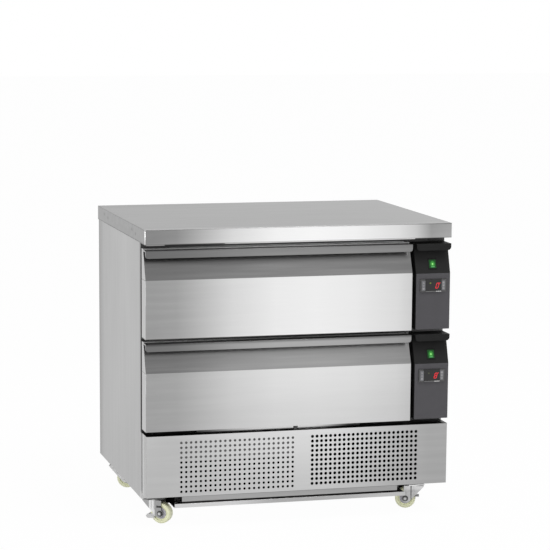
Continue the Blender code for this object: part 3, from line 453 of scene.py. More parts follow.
def brushed(name, tone, along="x", roughness=0.34, streak=0.05, metallic=1.0, dull=None):
    """Brushed stainless whose tone comes from a function of the finish; dull says where it is matt."""
    finish = Finish(name, metallic=metallic)
    fine, slow = grain(finish, along)
    colour = tone(finish)
    colour = finish.mix(fine.between(0.25, 0.75) * streak, colour, (0.30, 0.30, 0.30))
    colour = finish.mix(slow.between(0.35, 0.75) * 0.05, colour, (0.95, 0.95, 0.94))
    finish.feed(Base_Color=colour, Roughness=fine * 0.12 + (roughness - 0.06))
    if dull:
        finish.feed(Metallic=1.0 - dull(finish))
    return finish.bump(fine, 0.04, 0.0002).material


def upstand(level):
    """Where the low step behind the ledge on top of a drawer front is."""
    def share(finish):
        _, y, z = finish.axes()
        return (z - LEVELS[level]).above(UPSTAND_FOOT) * (y - FRONT).above(UPSTAND_DEPTH)

    return share


def slab_tone(finish):
    """The worktop, painted with light and shade: a dim top, lighter at the front and darker at the rear left,
    with a rim of painted shade, a front under the painted reflection band with painted shade at its foot and
    top edge, painted highlights on its front corners, and sides with their dimples.
    """
    x, y, z = finish.axes()
    nx, ny, nz = finish.facing()
    # Painted light and shade on the top: darker to the left, lighter at the front, darker at the rear left
    top = finish.mix((x / WIDTH + 0.5).clamped(), grey(116), grey(128))
    top = finish.mix(y.between(*TOP_NEAR), grey(138), top)
    rear_left = y.between(*TOP_REAR_SHADE) * (1.0 - x.between(-WIDTH / 2, 0.0))
    top = finish.mix(rear_left, top, grey(104))
    # Painted shade along the top's rim
    rim = (x.size().above(WIDTH / 2 - RIM_SHADE) + y.size().above(-FRONT - RIM_SHADE)).clamped()
    top = finish.mix(rim * 0.55, top, grey(52))
    # The front under the painted reflection band, with painted shade at its foot
    low = finish.mix(reflection_band(finish), grey(138), grey(252))
    high = finish.mix(reflection_band(finish), grey(130), grey(252))
    front = finish.mix(z.between(*SLAB_RISE), low, high)
    foot = 1.0 - z.between(*SLAB_FOOT_SHADE)
    front = finish.mix(foot * 0.6, front, grey(96))
    colour = finish.mix((ny * -1.0).between(*TURNED), top, front)
    colour = finish.mix(nx.size().between(*TURNED), colour, slab_side(finish, y, z))
    # Painted shade along the top front edge, stronger to the right
    crease_shade = z.above(HEIGHT - CREASE_SHADE) * y.below(FRONT + CREASE_SHADE)
    colour = finish.mix(crease_shade * (0.3 + 0.35 * (x / WIDTH + 0.5)), colour, grey(60))
    # Painted highlight on the rounded front corners
    corner = nx.size().hill(*CORNER) * nz.below(0.3)
    return finish.mix(corner, colour, grey(250))


def slab_side(finish, y, z):
    """The worktop's sides, with a painted highlight just behind the front, a line of painted shade above and
    below, and their dimples drawn as spots of painted shade.
    """
    side = finish.mix(y.between(FRONT, FRONT + 0.006), grey(170), grey(128))
    # Painted shade lines at the foot and along the top edge
    foot = 1.0 - z.between(*SLAB_SIDE_SHADE)
    side = finish.mix(foot * 0.85, side, grey(52))
    side = finish.mix(z.above(HEIGHT - 0.0020) * 0.5, side, grey(70))
    # Each dimple drawn as a spot of painted shade
    for depth, height in DIMPLES:
        along, rise = (y - depth) / DIMPLE_LONG, (z - height) / DIMPLE_TALL
        reach = (along * along + rise * rise).root()
        side = finish.mix((1.0 - reach.between(*DIMPLE_RADIUS)) * 0.85, side, grey(84))
    return side


def side_tone(finish):
    """Side panels, painted with shade: dimmer low down, to the rear and at the back edge, with a fold beside
    the fronts painted lighter low down and darker beside the drawers.
    """
    _, y, z = finish.axes()
    cloud = finish.noise((3.0, 3.0, 1.5)).between(0.3, 0.7)
    # Painted shade: dimmer low down, to the rear and at the back edge
    plain = finish.mix(z.between(*SIDE_LOW), grey(166), finish.mix(cloud, grey(171), grey(179)))
    plain = finish.mix(y.between(*SIDE_REAR), plain, grey(166))
    plain = finish.mix(y.between(*SIDE_BACK), plain, grey(138))
    # Painted light and shade on the fold: lighter low down, darker beside the drawers
    fold = finish.mix(z.between(*FOLD_FOOT), grey(196), grey(170))
    fold = finish.mix(z.above(FOLD_TOP), fold, grey(120))
    return finish.mix(y.between(*FOLD_DEPTH), fold, plain)


def front_tone(level):
    """Tones of a drawer front, mostly painted light and shade: face under the painted reflection band, recess
    painted darker in the lip's shade, lip, ledge in painted shade and flanks.
    """
    def tone(finish):
        x, y, z = finish.axes()
        nx, _, nz = finish.facing()
        rise, depth = z - LEVELS[level], y - FRONT
        light = reflection_band(finish)
        part = {name: finish.mix(light, grey(dark), grey(bright))
                for name, (dark, bright) in FRONT_TONES[level].items()}
        # Painted light: the face under the reflection band, darker towards its foot
        face = finish.mix(rise.between(0.0, FACE_RISE), part["foot"], part["face"])
        # The recess is painted darker than the face as shade, and painted lighter where the lip's shadow
        # falls, softening it
        shaded = rise.between(*SHADE_RISE) * x.below(SHADE_END)
        recess = finish.mix(shaded, part["recess"], part["shade"])
        # Painted shade darkens the lip towards its top edge
        edge_tall, edge_share = LIP_EDGE_SHADE[level]
        lip = finish.mix(rise.between(LIP_RISE - edge_tall, LIP_RISE) * edge_share, part["lip"], grey(40))
        colour = finish.mix((rise - FACE_RISE).above(0.0), face, recess)
        colour = finish.mix(depth.below(LIP_DEPTH) * rise.above(FACE_RISE + LIP_FOOT), colour, lip)
        flank = finish.mix(rise.near(FACE_RISE, FLANK_LINE), grey(182), grey(120))
        colour = finish.mix(nx.size().between(*TURNED), colour, flank)
        back = depth.between(*BACK_SHADE_DEPTH)
        above_lip = rise.above(UPSTAND_FOOT) * depth.above(UPSTAND_DEPTH) * (1.0 - nz.above(UPWARDS))
        colour = finish.mix(above_lip, colour, part["upstand"])
        # Painted shadow along the front's foot, taller to the left
        colour = finish.mix((rise + x * FOOT_SLOPE).below(FOOT_SHADOW[level]), colour, grey(40))
        # Painted light and shade on the ledge and the step behind it: dark up to the step's back, and on the
        # upper front lighter left of the seam
        ledge = part["ledge"]
        if level == "lower":
            ledge = finish.mix(x.between(*LEDGE_DIM), grey(150), ledge)
        ledge = finish.mix(back, grey(20), ledge)
        ledge = finish.mix(depth.between(*LEDGE_DEPTH), lip, ledge)
        step = finish.mix(x.below(-SEAM), grey(90), grey(230)) if level == "upper" else grey(90)
        step = finish.mix(x.near(-SEAM, SEAM_HALF), step, grey(20))
        step = finish.mix(back, grey(20), step)
        ledge = finish.mix(depth.above(STEP_DEPTH), ledge, step)
        return finish.mix(nz.above(UPWARDS), colour, ledge)

    return tone


def grille_tone(finish):
    """The vent panel, painted with light and shade: under the painted reflection band, light at the left and
    along its bent foot, dimmer to the right, its top ledge in painted shade with a painted reflection across
    the middle.
    """
    x, y, z = finish.axes()
    nx, _, nz = finish.facing()
    light = reflection_band(finish)
    low = finish.mix(light, grey(188), grey(199))
    high = finish.mix(light, grey(187), grey(221))
    colour = finish.mix(z.between(*VENT_FACE), low, high)
    # Painted shade: dimmer to the right
    colour = finish.mix(x.between(*VENT_FADE) * 0.7, colour, grey(154))
    flank = finish.mix(y.between(*VENT_FLANK), grey(178), grey(206))
    colour = finish.mix(nx.size().between(*TURNED), colour, flank)
    # Painted shade on the top ledge, with a painted reflection across its middle
    lit_ledge = x.hill(*VENT_LEDGE_LIGHT) * y.between(*VENT_LEDGE_DEPTH)
    return finish.mix(nz.above(UPWARDS), colour, finish.mix(lit_ledge, grey(40), grey(250)))


def frame_tone(finish):
    """The cabinet's front frame, with painted light in the gaps between fronts and painted shade close under
    the worktop, behind the controls and at its left end.
    """
    x, _, z = finish.axes()
    # Painted light in the top gap, painted shade behind the controls
    top = finish.mix(x.hill(*TOP_GAP_LIGHT), grey(60), grey(130))
    top = finish.mix(x.above(CONTROL_START), top, grey(16))
    # Painted light in the middle and low gaps
    middle = finish.mix(x.between(*MIDDLE_GAP_FADE), grey(200), grey(110))
    low = finish.mix(x.hill(*LOW_GAP_LIGHT), grey(80), grey(255))
    colour = finish.mix(z.below(LOW_GAP_TOP), middle, low)
    colour = finish.mix(z.above(TOP_GAP_FOOT), colour, top)
    # Painted shade at the left end
    return finish.mix(x.below(STILE_END), colour, grey(22))


def tray_tone(finish):
    """The condensate tray, painted with light and shade: its lip lighter at both ends than in the middle, its
    left side dark.
    """
    x = finish.axes()[0]
    nx = finish.facing()[0]
    ends = finish.mix(x.above(0.0), grey(212), grey(190))
    front = finish.mix(x.hill(*TRAY_DIM), ends, grey(174))
    # Painted shade on the side facing left
    return finish.mix(nx.below(-0.5), front, grey(40))


def hem_tone(finish):
    """Painted light: dim at the left, light towards the middle."""
    x = finish.axes()[0]
    return finish.mix(x.between(*HEM_FADE), grey(150), grey(236))


def foot_tone(finish):
    """Light under the middle of the lower drawer, lost in the gap's shade towards both ends."""
    x, _, z = finish.axes()
    light = x.hill(*FOOT_LIGHT)
    low = finish.mix(light, grey(24), grey(150))
    high = finish.mix(light, grey(40), grey(214))
    return finish.mix(z.between(*FOOT_RISE), low, high)


def sill_tone(finish):
    """The tray's channel, in painted shade where it faces left."""
    return finish.mix(finish.facing()[0].below(-0.5), grey(160), grey(14))


def plain_tone(level):
    """An even grey with a faint drift."""
    return lambda finish: finish.mix(finish.cloud(8.0), grey(level - 5), grey(level + 4))


def plastic(name, colour, roughness, grain_scale=900.0, bump=0.05, mottled=0.06, sheen=0.5):
    """Moulded plastic with a fine texture and a slight drift in tone."""
    finish = Finish(name, colour, roughness, specular_ior_level=sheen)
    fine = finish.noise((grain_scale,) * 3, 3.0)
    darker = tuple(part * (1 - mottled * 2) for part in colour)
    finish.feed(Base_Color=finish.mix(finish.cloud(25.0), colour, darker))
    finish.feed(Roughness=fine * 0.14 + (roughness - 0.07))
    return finish.bump(fine, bump, 0.0003).material


def zinc(name, level, roughness=0.34):
    """Bright zinc plate with a faint drift in tone."""
    finish = Finish(name, metallic=1.0)
    drift = finish.cloud(70.0)
    finish.feed(Base_Color=finish.mix(drift, grey(level), grey(level - 14)))
    finish.feed(Roughness=drift * 0.08 + roughness)
    return finish.material


def fork_zinc(corner):
    """Zinc of a front castor's fork: bends in painted light and shade and a patch of painted shade on the
    left fork, a painted lit top and a rib in painted shade on the right one, and a dull nut in a dark ring at
    the axle.
    """
    finish = Finish(f"fork_zinc_{corner}", metallic=1.0)
    x, y, z = finish.axes()
    centre, axis = axle_of(corner)
    along = (x - centre.x) * axis.y - (y - centre.y) * axis.x
    rise = z - centre.z
    reach = (along * along + rise * rise).root()
    drift = finish.cloud(70.0)
    plain = finish.mix(drift, grey(184), grey(168))
    if corner == "front_left":
        # Painted light and shade across the left fork's bends, and a patch of painted shade
        plain = finish.mix(along.between(*FORK_BEND), grey(206), grey(146))
        plain = finish.mix(along.between(*FORK_EDGE), grey(152), plain)
        plain = finish.mix(along.near(*FORK_SHADE_PATCH[:2]) * rise.near(*FORK_SHADE_PATCH[2:]), plain, grey(70))
    else:
        # Painted light on the right fork's top, painted shade on its rib
        plain = finish.mix(rise.between(*FORK_TOP), plain, grey(206))
        plain = finish.mix(along.hill(*FORK_RIB) * 0.8, plain, grey(112))
    colour = finish.mix(reach.between(*NUT_MIDDLE), grey(210), grey(120))
    colour = finish.mix(reach.between(*NUT_EDGE), colour, grey(44))
    colour = finish.mix(reach.between(*NUT_RING), colour, plain)
    finish.feed(Base_Color=colour, Roughness=drift * 0.08 + 0.34)
    return finish.material


def foam():
    finish = Finish("foam", rgb(226, 220, 200), 0.9)
    cells = finish.noise((300.0, 300.0, 300.0), 4.0)
    finish.feed(Base_Color=finish.mix(cells.between(0.3, 0.7), rgb(230, 224, 205), rgb(206, 198, 172)))
    return finish.bump(cells, 0.5, 0.001).material


def fins(name, pitch, level):
    """Aluminium fins drawn as fine slits of painted shade across the width."""
    finish = Finish(name, metallic=1.0, roughness=0.42)
    wave = (finish.axes()[0] * (math.tau / pitch)).math("SINE")
    slit = wave.between(-0.2, 0.7)
    finish.feed(Base_Color=finish.mix(slit, grey(40), grey(level)))
    return finish.bump(slit, 0.5, 0.001).material


def copper():
    finish = Finish("copper_tube", metallic=1.0)
    stain = finish.noise((40.0, 40.0, 40.0), 4.0).between(0.35, 0.75)
    finish.feed(Base_Color=finish.mix(stain, rgb(214, 140, 104), rgb(150, 88, 60)))
    finish.feed(Roughness=stain * 0.2 + 0.28)
    return finish.material


def lit(name, colour):
    """A small lit sign or lamp."""
    finish = Finish(name, tuple(part * 0.3 for part in colour), 0.4, emission_strength=1.0)
    finish.feed(Emission_Color=finish.mix(finish.cloud(180.0), colour, tuple(part * 0.72 for part in colour)))
    return finish.material


def switch_green(level):
    """Lit green rocker, brightest in the middle, with a pale bar near its foot."""
    low, high = box_of(f"rocker_{level}")
    middle = (low + high) / 2
    finish = Finish(f"switch_green_{level}", rgb(10, 44, 16), 0.35, specular_ior_level=0.2,
                    emission_strength=1.0)
    x, _, z = finish.axes()
    across = (x - middle.x) / GLOW_HALF[0]
    rise = (z - middle.z) / GLOW_HALF[1]
    spread = across * across + rise * rise
    glow = finish.mix(spread.between(*GLOW_FADE), rgb(60, 150, 58), rgb(12, 60, 20))
    glow = finish.mix(spread.between(*GLOW_CORE), rgb(170, 252, 146), glow)
    bar = z.near(middle.z - BAR_DROP, BAR_HALF[1]) * x.near(middle.x, BAR_HALF[0])
    finish.feed(Emission_Color=finish.mix(bar * 0.6, glow, rgb(120, 214, 140)))
    return finish.material


def bezel(level):
    """The controller's bezel: dark round the window, grey beside it."""
    finish = Finish(f"bezel_{level}", grey(66), 0.34)
    low, high = box_of(f"controller_{level}")
    edge = (finish.axes()[0] - (low.x + high.x) / 2).size().between(*BEZEL_EDGE)
    finish.feed(Base_Color=finish.mix(edge, grey(30), grey(74)))
    return finish.material


# Steel
STEEL_TOP = brushed("worktop_steel", slab_tone, roughness=0.30)
STEEL_SIDE = brushed("side_steel", side_tone, "z", 0.36)
STEEL_FRAME = brushed("frame_steel", frame_tone, metallic=0.0)
STEEL_GRILLE = brushed("grille_steel", grille_tone, streak=0.06)
STEEL_LINER = brushed("liner_steel", plain_tone(190), "y", 0.38)
STEEL_SILL = brushed("sill_steel", sill_tone)
STEEL_HEM = brushed("hem_steel", hem_tone)
STEEL_FOOT = brushed("foot_steel", foot_tone)
STEEL_TRAY = brushed("tray_steel", tray_tone)

# Other metals
ZINC = zinc("zinc_bright", 188)
ZINC_SHADE = zinc("zinc_shade", 112)
ZINC_DULL = zinc("zinc_dull", 178, 0.42)
ZINC_DARK = zinc("zinc_dark", 84, 0.36)
# A lighter zinc: painted light on the front right castor's plate, and the shiny inlet pins
ZINC_SHINY_AND_LIT = zinc("zinc_shiny_and_lit", 238, 0.26)
COPPER = copper()
FINS_CONDENSER = fins("condenser_fins", 0.0025, 200)
FINS_EVAPORATOR = fins("evaporator_fins", 0.0040, 214)

# Plastics, rubber, enamel and foam
BLACK = plastic("housing_black", grey(30), 0.55, 1200.0, 0.10, sheen=0.15)
OVERLAY = plastic("overlay_grey", rgb(80, 79, 82), 0.55, 1500.0, 0.05, 0.02, sheen=0.15)
# Black for sheets that stand in for shade
SHADE_BLACK = plastic("shade_black", grey(9), 0.9, 500.0, 0.30, sheen=0.0)
GLASS = plastic("display_black", grey(20), 0.16, 400.0, 0.0, 0.0)
KEY = plastic("key_grey", rgb(112, 112, 116), 0.55)
SIGN = plastic("sign_grey", grey(150), 0.5)
# Painted highlight along the bezel's foot, brightest in its glint
HIGHLIGHT_DIM = plastic("bezel_highlight", grey(104), 0.4)
HIGHLIGHT_GLINT = plastic("bezel_glint", grey(196), 0.3)
COVER = plastic("cover_grey", grey(132), 0.6)
CREAM = Finish("wheel_cream", rgb(238, 240, 204), 0.34).material
HUB = plastic("hub_grey", rgb(180, 178, 186), 0.45)
RUBBER = plastic("gasket_grey", grey(46), 0.70, 700.0, 0.15)
WHITE_PLASTIC = plastic("fan_white", grey(214), 0.5)
INNER = plastic("inner_white", rgb(214, 215, 212), 0.40, 500.0, 0.10)
ENAMEL = plastic("compressor_black", grey(30), 0.30, 300.0, 0.08)
FOAM = foam()

# Lights of the displays
RED = lit("figure_red", rgb(226, 34, 48))
STATUS_LAMPS = {"upper": lit("lamp_green", rgb(112, 128, 50)), "lower": lit("lamp_dim", rgb(72, 76, 52))}


def paint(item, material):
    item.data.materials.clear()
    item.data.materials.append(material)


def body_of(node):
    for name, nodes in frame["record"]["behaviour"]["bodies"].items():
        if node in nodes:
            return name
    raise KeyError(node)


def slot_of(node):
    for entry in frame["record"]["subparts"]:
        if entry["node"] == node:
            return entry["material_slot"]
    raise KeyError(node)


def axle_of(corner):
    """Middle and direction of a castor's axle."""
    for joint in frame["record"]["behaviour"]["joints"]:
        if joint["name"] == f"castor_roll_{corner}":
            return Vector(joint["pos_m"]), Vector(joint["axis"])
    raise KeyError(corner)


def box_of(node):
    """Lowest and highest corner of a node in the frame."""
    item = frame["nodes"][node]
    corners = [item.matrix_world @ Vector(corner) for corner in item.bound_box]
    low = Vector([min(corner[axis] for corner in corners) for axis in range(3)])
    high = Vector([max(corner[axis] for corner in corners) for axis in range(3)])
    return low, high


def add(name, mesh, material, node, smooth=True):
    """Keeps a bmesh as a piece that rides with a node; the node's slot is only looked up."""
    data = bpy.data.meshes.new(name)
    mesh.to_mesh(data)
    mesh.free()
    piece = bpy.data.objects.new(name, data)
    bpy.context.scene.collection.objects.link(piece)
    data.materials.append(material)
    if smooth:
        data.shade_smooth()
        data.set_sharp_from_angle(angle=math.radians(SMOOTH_ANGLE))
    slot_of(node)
    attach(piece, body_of(node))
    return piece


def cuboid(mesh, low, high):
    """A box between two corners."""
    low, high = Vector(low), Vector(high)
    place = Matrix.Translation((low + high) / 2) @ Matrix.Diagonal((*(high - low), 1.0))
    return bmesh.ops.create_cube(mesh, size=1.0, matrix=place)["verts"]


def plates(name, material, node, *boxes):
    """One piece made of boxes, each between two corners."""
    mesh = bmesh.new()
    for low, high in boxes:
        cuboid(mesh, low, high)
    return add(name, mesh, material, node, smooth=False)


def rod(mesh, start, end, radius, sides, far_radius=None):
    """A round bar from one point to another."""
    start, end = Vector(start), Vector(end)
    line = end - start
    place = Matrix.Translation((start + end) / 2) @ line.to_track_quat("Z", "Y").to_matrix().to_4x4()
    bmesh.ops.create_cone(mesh, cap_ends=True, segments=sides, radius1=radius, radius2=far_radius or radius,
                          depth=line.length, matrix=place)


def verts_of(parts):
    return [part for part in parts if isinstance(part, bmesh.types.BMVert)]


def softened(node, material, width):
    """A node with its loose triangles joined, its flat faces whole and its folded edges rounded."""
    mesh = bmesh.new()
    mesh.from_mesh(frame["nodes"][node].data)
    bmesh.ops.remove_doubles(mesh, verts=mesh.verts, dist=MERGE)
    bmesh.ops.dissolve_limit(mesh, angle_limit=math.radians(1.0), verts=mesh.verts, edges=mesh.edges)
    edges = [edge for edge in mesh.edges if len(edge.link_faces) == 2
             and edge.calc_face_angle(0.0) > math.radians(FOLD_ANGLE)]
    bmesh.ops.bevel(mesh, geom=edges, offset=width, segments=2, profile=0.5, affect="EDGES", material=-1,
                    clamp_overlap=True)
    for face in mesh.faces:
        face.smooth = face.calc_area() < FLAT_AREA
    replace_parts(add(f"{node}_folded", mesh, material, node, smooth=False), node)


def shifted(mesh, parts, move):
    """A copy of some parts of a mesh, moved."""
    copy = bmesh.ops.duplicate(mesh, geom=parts)["geom"]
    bmesh.ops.translate(mesh, vec=move, verts=verts_of(copy))
    return copy


def hole_field(mesh, first, last, low, high, radius):
    """Square cells side by side, each with a round hole, drawn flat with the panel's rise along y."""
    pitches = ((last - first) / (COLUMNS - 1), (high - low) / (ROWS - 1))
    circle = bmesh.ops.create_circle(mesh, cap_ends=False, segments=HOLE_SIDES, radius=radius)["verts"]
    rim = list({edge for vert in circle for edge in vert.link_edges})
    for vert in verts_of(bmesh.ops.extrude_edge_only(mesh, edges=rim)["geom"]):
        reach = max(abs(vert.co.x), abs(vert.co.y))
        vert.co.x *= pitches[0] / 2 / reach
        vert.co.y *= pitches[1] / 2 / reach
    faces = list({face for vert in circle for face in vert.link_faces})
    cell = list({part for face in faces for part in (*face.verts, *face.edges, face)})
    bmesh.ops.translate(mesh, vec=(first, low, 0.0), verts=verts_of(cell))
    row = list(cell)
    for column in range(1, COLUMNS):
        row += shifted(mesh, cell, (pitches[0] * column, 0.0, 0.0))
    for rise in range(1, ROWS):
        shifted(mesh, row, (0.0, pitches[1] * rise, 0.0))


def boundary(mesh, longer_than):
    """Open edges of a mesh that are longer than a length."""
    return [edge for edge in mesh.edges if edge.is_boundary and edge.calc_length() > longer_than]


def build_vent_panel():
    """The folded vent panel with its two fields of round holes."""
    low, high = box_of("grille_panel")
    mesh = bmesh.new()
    for field in HOLE_FIELDS:
        hole_field(mesh, *field)
    bmesh.ops.remove_doubles(mesh, verts=mesh.verts, dist=MERGE)
    widest = max(field[4] for field in HOLE_FIELDS)
    hole_edge = 2 * widest * math.sin(math.pi / HOLE_SIDES)
    border = boundary(mesh, hole_edge * 1.5)
    sheet = bmesh.ops.create_grid(mesh, x_segments=1, y_segments=1, size=0.5)["verts"]
    bmesh.ops.delete(mesh, geom=sheet[0].link_faces[:], context="FACES_ONLY")
    for vert in sheet:
        vert.co = (high.x if vert.co.x > 0 else low.x, high.z if vert.co.y > 0 else low.z, 0.0)
    outline = list({edge for vert in sheet for edge in vert.link_edges})
    bmesh.ops.triangle_fill(mesh, use_beauty=True, edges=border + outline)
    bmesh.ops.recalc_face_normals(mesh, faces=mesh.faces)
    wall = bmesh.ops.extrude_edge_only(mesh, edges=boundary(mesh, widest * 4))["geom"]
    bmesh.ops.translate(mesh, vec=(0.0, 0.0, low.y - high.y), verts=verts_of(wall))
    bmesh.ops.recalc_face_normals(mesh, faces=mesh.faces)
    folds = [edge for edge in mesh.edges if len(edge.link_faces) == 2 and edge.calc_face_angle(0.0) > 1.0
             and all(abs(vert.co.z) < MERGE for vert in edge.verts)]
    bmesh.ops.bevel(mesh, geom=folds, offset=VENT_FOLD, segments=2, profile=0.5, affect="EDGES", material=-1)
    bmesh.ops.solidify(mesh, geom=mesh.faces[:], thickness=VENT_SHEET)
    upright = Matrix.Translation((0.0, low.y, 0.0)) @ Matrix.Rotation(math.radians(90), 4, "X")
    bmesh.ops.transform(mesh, matrix=upright, verts=mesh.verts)
    bmesh.ops.recalc_face_normals(mesh, faces=mesh.faces)
    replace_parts(add("vent_panel", mesh, STEEL_GRILLE, "grille_panel"), "grille_panel")


def build_behind_vents():
    """What shows through the holes: a light strip over the coil, and a dark mat that stands in for the shade
    behind them.
    """
    low, high = box_of("grille_panel")
    first, last, bottom, top = HOLE_FIELDS[0][:4]
    face = low.y + COVER_DEPTH
    strip_foot = top - (top - bottom) / (ROWS - 1) * COVER_ROWS
    start, end = first - COVER_REACH[0], last + COVER_REACH[1]
    plates("coil_cover_strip", COVER, "base_pan",
           ((start, face, strip_foot), (end, face + 0.001, top + 0.006)),
           ((start, face, strip_foot), (end, face + COVER_SHELF, strip_foot - 0.001)))
    # A dark mat that stands in for the shade behind the holes
    plates("shade_mat", SHADE_BLACK, "power_inlet",
           ((low.x + MAT_MARGIN, low.y + MAT_DEPTH[0], low.z + MAT_MARGIN),
            (high.x - MAT_MARGIN, low.y + MAT_DEPTH[1], high.z - MAT_MARGIN)))


def build_castor_trim():
    """Washers, bolt ends and hub covers on both sides of each castor."""
    trims = (("washers", WASHER, ZINC_DARK, "castor_fork"), ("bolt_ends", BOLT_END, ZINC, "castor_fork"),
             ("hub_covers", HUB_COVER, HUB, "castor_wheel"))
    for corner in CORNERS:
        centre, axis = axle_of(corner)
        for name, (start, end, radius, sides), material, carrier in trims:
            mesh = bmesh.new()
            for side in (-1, 1):
                rod(mesh, centre + axis * side * start, centre + axis * side * end, radius, sides)
            add(f"{name}_{corner}", mesh, material, f"{carrier}_{corner}")


def build_shade_plates():
    """Dark plates that stand in for the shade behind the front castors, as a dark cross member would, and a
    sheet of painted shade on the tray guide's left side.
    """
    guide_low, guide_high = box_of("tray_guide")
    pan_low, pan_high = box_of("base_pan")
    foot, back = pan_low.z - SHADE_PLATE_DROP, SHADE_PLATE_FRONT + SHADE_PLATE_THICK
    left, right = guide_low.x - 0.001, guide_high.x + 0.001
    plates("castor_shade_plates", SHADE_BLACK, "power_inlet",
           ((pan_low.x + SHADE_PLATE_MARGIN[0], SHADE_PLATE_FRONT, foot), (left, back, pan_low.z - AIR)),
           ((right, SHADE_PLATE_FRONT, foot), (pan_high.x - SHADE_PLATE_MARGIN[1], back, pan_low.z - AIR)),
           ((left, SHADE_PLATE_FRONT, foot), (guide_low.x + GUIDE_SHADE_PLATE_LONG, back, guide_low.z - AIR)),
           # A sheet of painted shade on the tray guide's left side
           ((guide_low.x - 0.0008, guide_low.y + 0.004, guide_low.z + 0.0008),
            (guide_low.x - AIR, guide_high.y - 0.004, guide_high.z - 0.0020)))


def build_pedal_cheeks():
    """The two cheeks at the foot of the pressed brake pedal."""
    centre, across = axle_of("front_left")
    along = across.cross((0.0, 0.0, 1.0))
    place = Matrix((along, across, (0.0, 0.0, 1.0))).transposed().to_4x4()
    place.translation = centre
    lean = Matrix.Rotation(math.radians(-PEDAL_TILT), 4, "Y")
    mesh = bmesh.new()
    for side in (-1, 1):
        outer = mesh.faces.new([mesh.verts.new((x, side * PEDAL_HALF, z)) for x, z in PEDAL_CHEEK])
        grown = bmesh.ops.extrude_face_region(mesh, geom=[outer])["geom"]
        bmesh.ops.translate(mesh, verts=verts_of(grown), vec=(0.0, -side * PEDAL_SHEET, 0.0))
    bmesh.ops.recalc_face_normals(mesh, faces=mesh.faces)
    bmesh.ops.transform(mesh, matrix=place @ lean, verts=mesh.verts)
    add("pedal_cheeks_front_left", mesh, ZINC, "brake_pedal_front_left", smooth=False)


def build_hems():
    """The hems behind the upper drawer's lip, under the lower drawer and under the worktop's front."""
    near, far = (FRONT + depth for depth in UPPER_HEM_DEPTH)
    high = box_of("drawer_front_upper")[1]
    plates("drawer_hem_upper", STEEL_HEM, "drawer_front_upper",
           ((-SEAM + 0.002, near, high.z + AIR), (high.x - 0.012, far, high.z + UPPER_HEM_TALL)))
    near, far = (FRONT + depth for depth in LOWER_HEM_DEPTH)
    foot = box_of("drawer_front_lower")[0].z
    left, right = LOWER_HEM_ENDS
    plates("drawer_hem_lower", STEEL_FOOT, "drawer_front_lower",
           *(((start, near, foot - LOWER_HEM_DROP), (end, far, foot - AIR))
             for start, end in ((left, THUMB_X - THUMB_HALF), (THUMB_X + THUMB_HALF, right))))
    plates("worktop_hems", STEEL_HEM, "worktop",
           *(((left, FRONT + depth, SLAB_FOOT - drop),
              (right, FRONT + depth + WORKTOP_HEM_SHEET, SLAB_FOOT - AIR))
             for left, right, depth, drop in WORKTOP_HEMS))


def build_back_details():
    """Slotted screws round the back panel's edge, and the three pins of the power inlet."""
    low, high = box_of("back_panel")
    left, right = low.x + SCREW_MARGIN[0], high.x - SCREW_MARGIN[0]
    foot, top = low.z + SCREW_MARGIN[1], high.z - SCREW_MARGIN[1]
    mesh = bmesh.new()
    for z in (foot, (low.z + high.z) / 2, top):
        for x in (left, low.x * 0.34 + high.x * 0.66, low.x * 0.66 + high.x * 0.34, right):
            if z in (foot, top) or x in (left, right):
                rod(mesh, (x, high.y - 0.0002, z), (x, high.y + SCREW_STAND, z), SCREW_RADIUS, 20,
                    SCREW_TOP_RADIUS)
                cuboid(mesh, (x - SLOT_HALF[0], high.y + 0.0010, z - SLOT_HALF[1]),
                       (x + SLOT_HALF[0], high.y + 0.0018, z + SLOT_HALF[1]))
    add("back_screws", mesh, ZINC_DARK, "thumb_screw")
    socket = next(item for item in frame["record"]["physics"]["openings"] if item["name"] == "inlet_socket")
    start, end = (Vector(corner) for corner in socket["box_m"])
    middle = (start + end) / 2
    plates("inlet_pins", ZINC_SHINY_AND_LIT, "thumb_screw",
           *(((middle.x + side - PIN_HALF[0], start.y - 0.0012, middle.z + drop - PIN_HALF[1]),
              (middle.x + side + PIN_HALF[0], start.y + 0.0150, middle.z + drop + PIN_HALF[1]))
             for side, drop in PIN_PLACES))


def digit(mesh, sign, middle):
    """A seven-segment figure leaning to the right, drawn on the plane that faces the front."""
    x, y, z = middle
    for name in STROKES[sign]:
        across, rise, level = STROKE_PLACES[name]
        long = (FIGURE_WIDE if level else FIGURE_TALL / 2) - FIGURE_STROKE * 0.5
        wide, tall = (long, FIGURE_STROKE) if level else (FIGURE_STROKE, long)
        centre = Vector((x + across * FIGURE_WIDE, y, z + rise * FIGURE_TALL))
        half = Vector((wide / 2, FIGURE_HALF_DEPTH, tall / 2))
        for vert in cuboid(mesh, centre - half, centre + half):
            vert.co.x += (vert.co.z - z) * FIGURE_SLANT


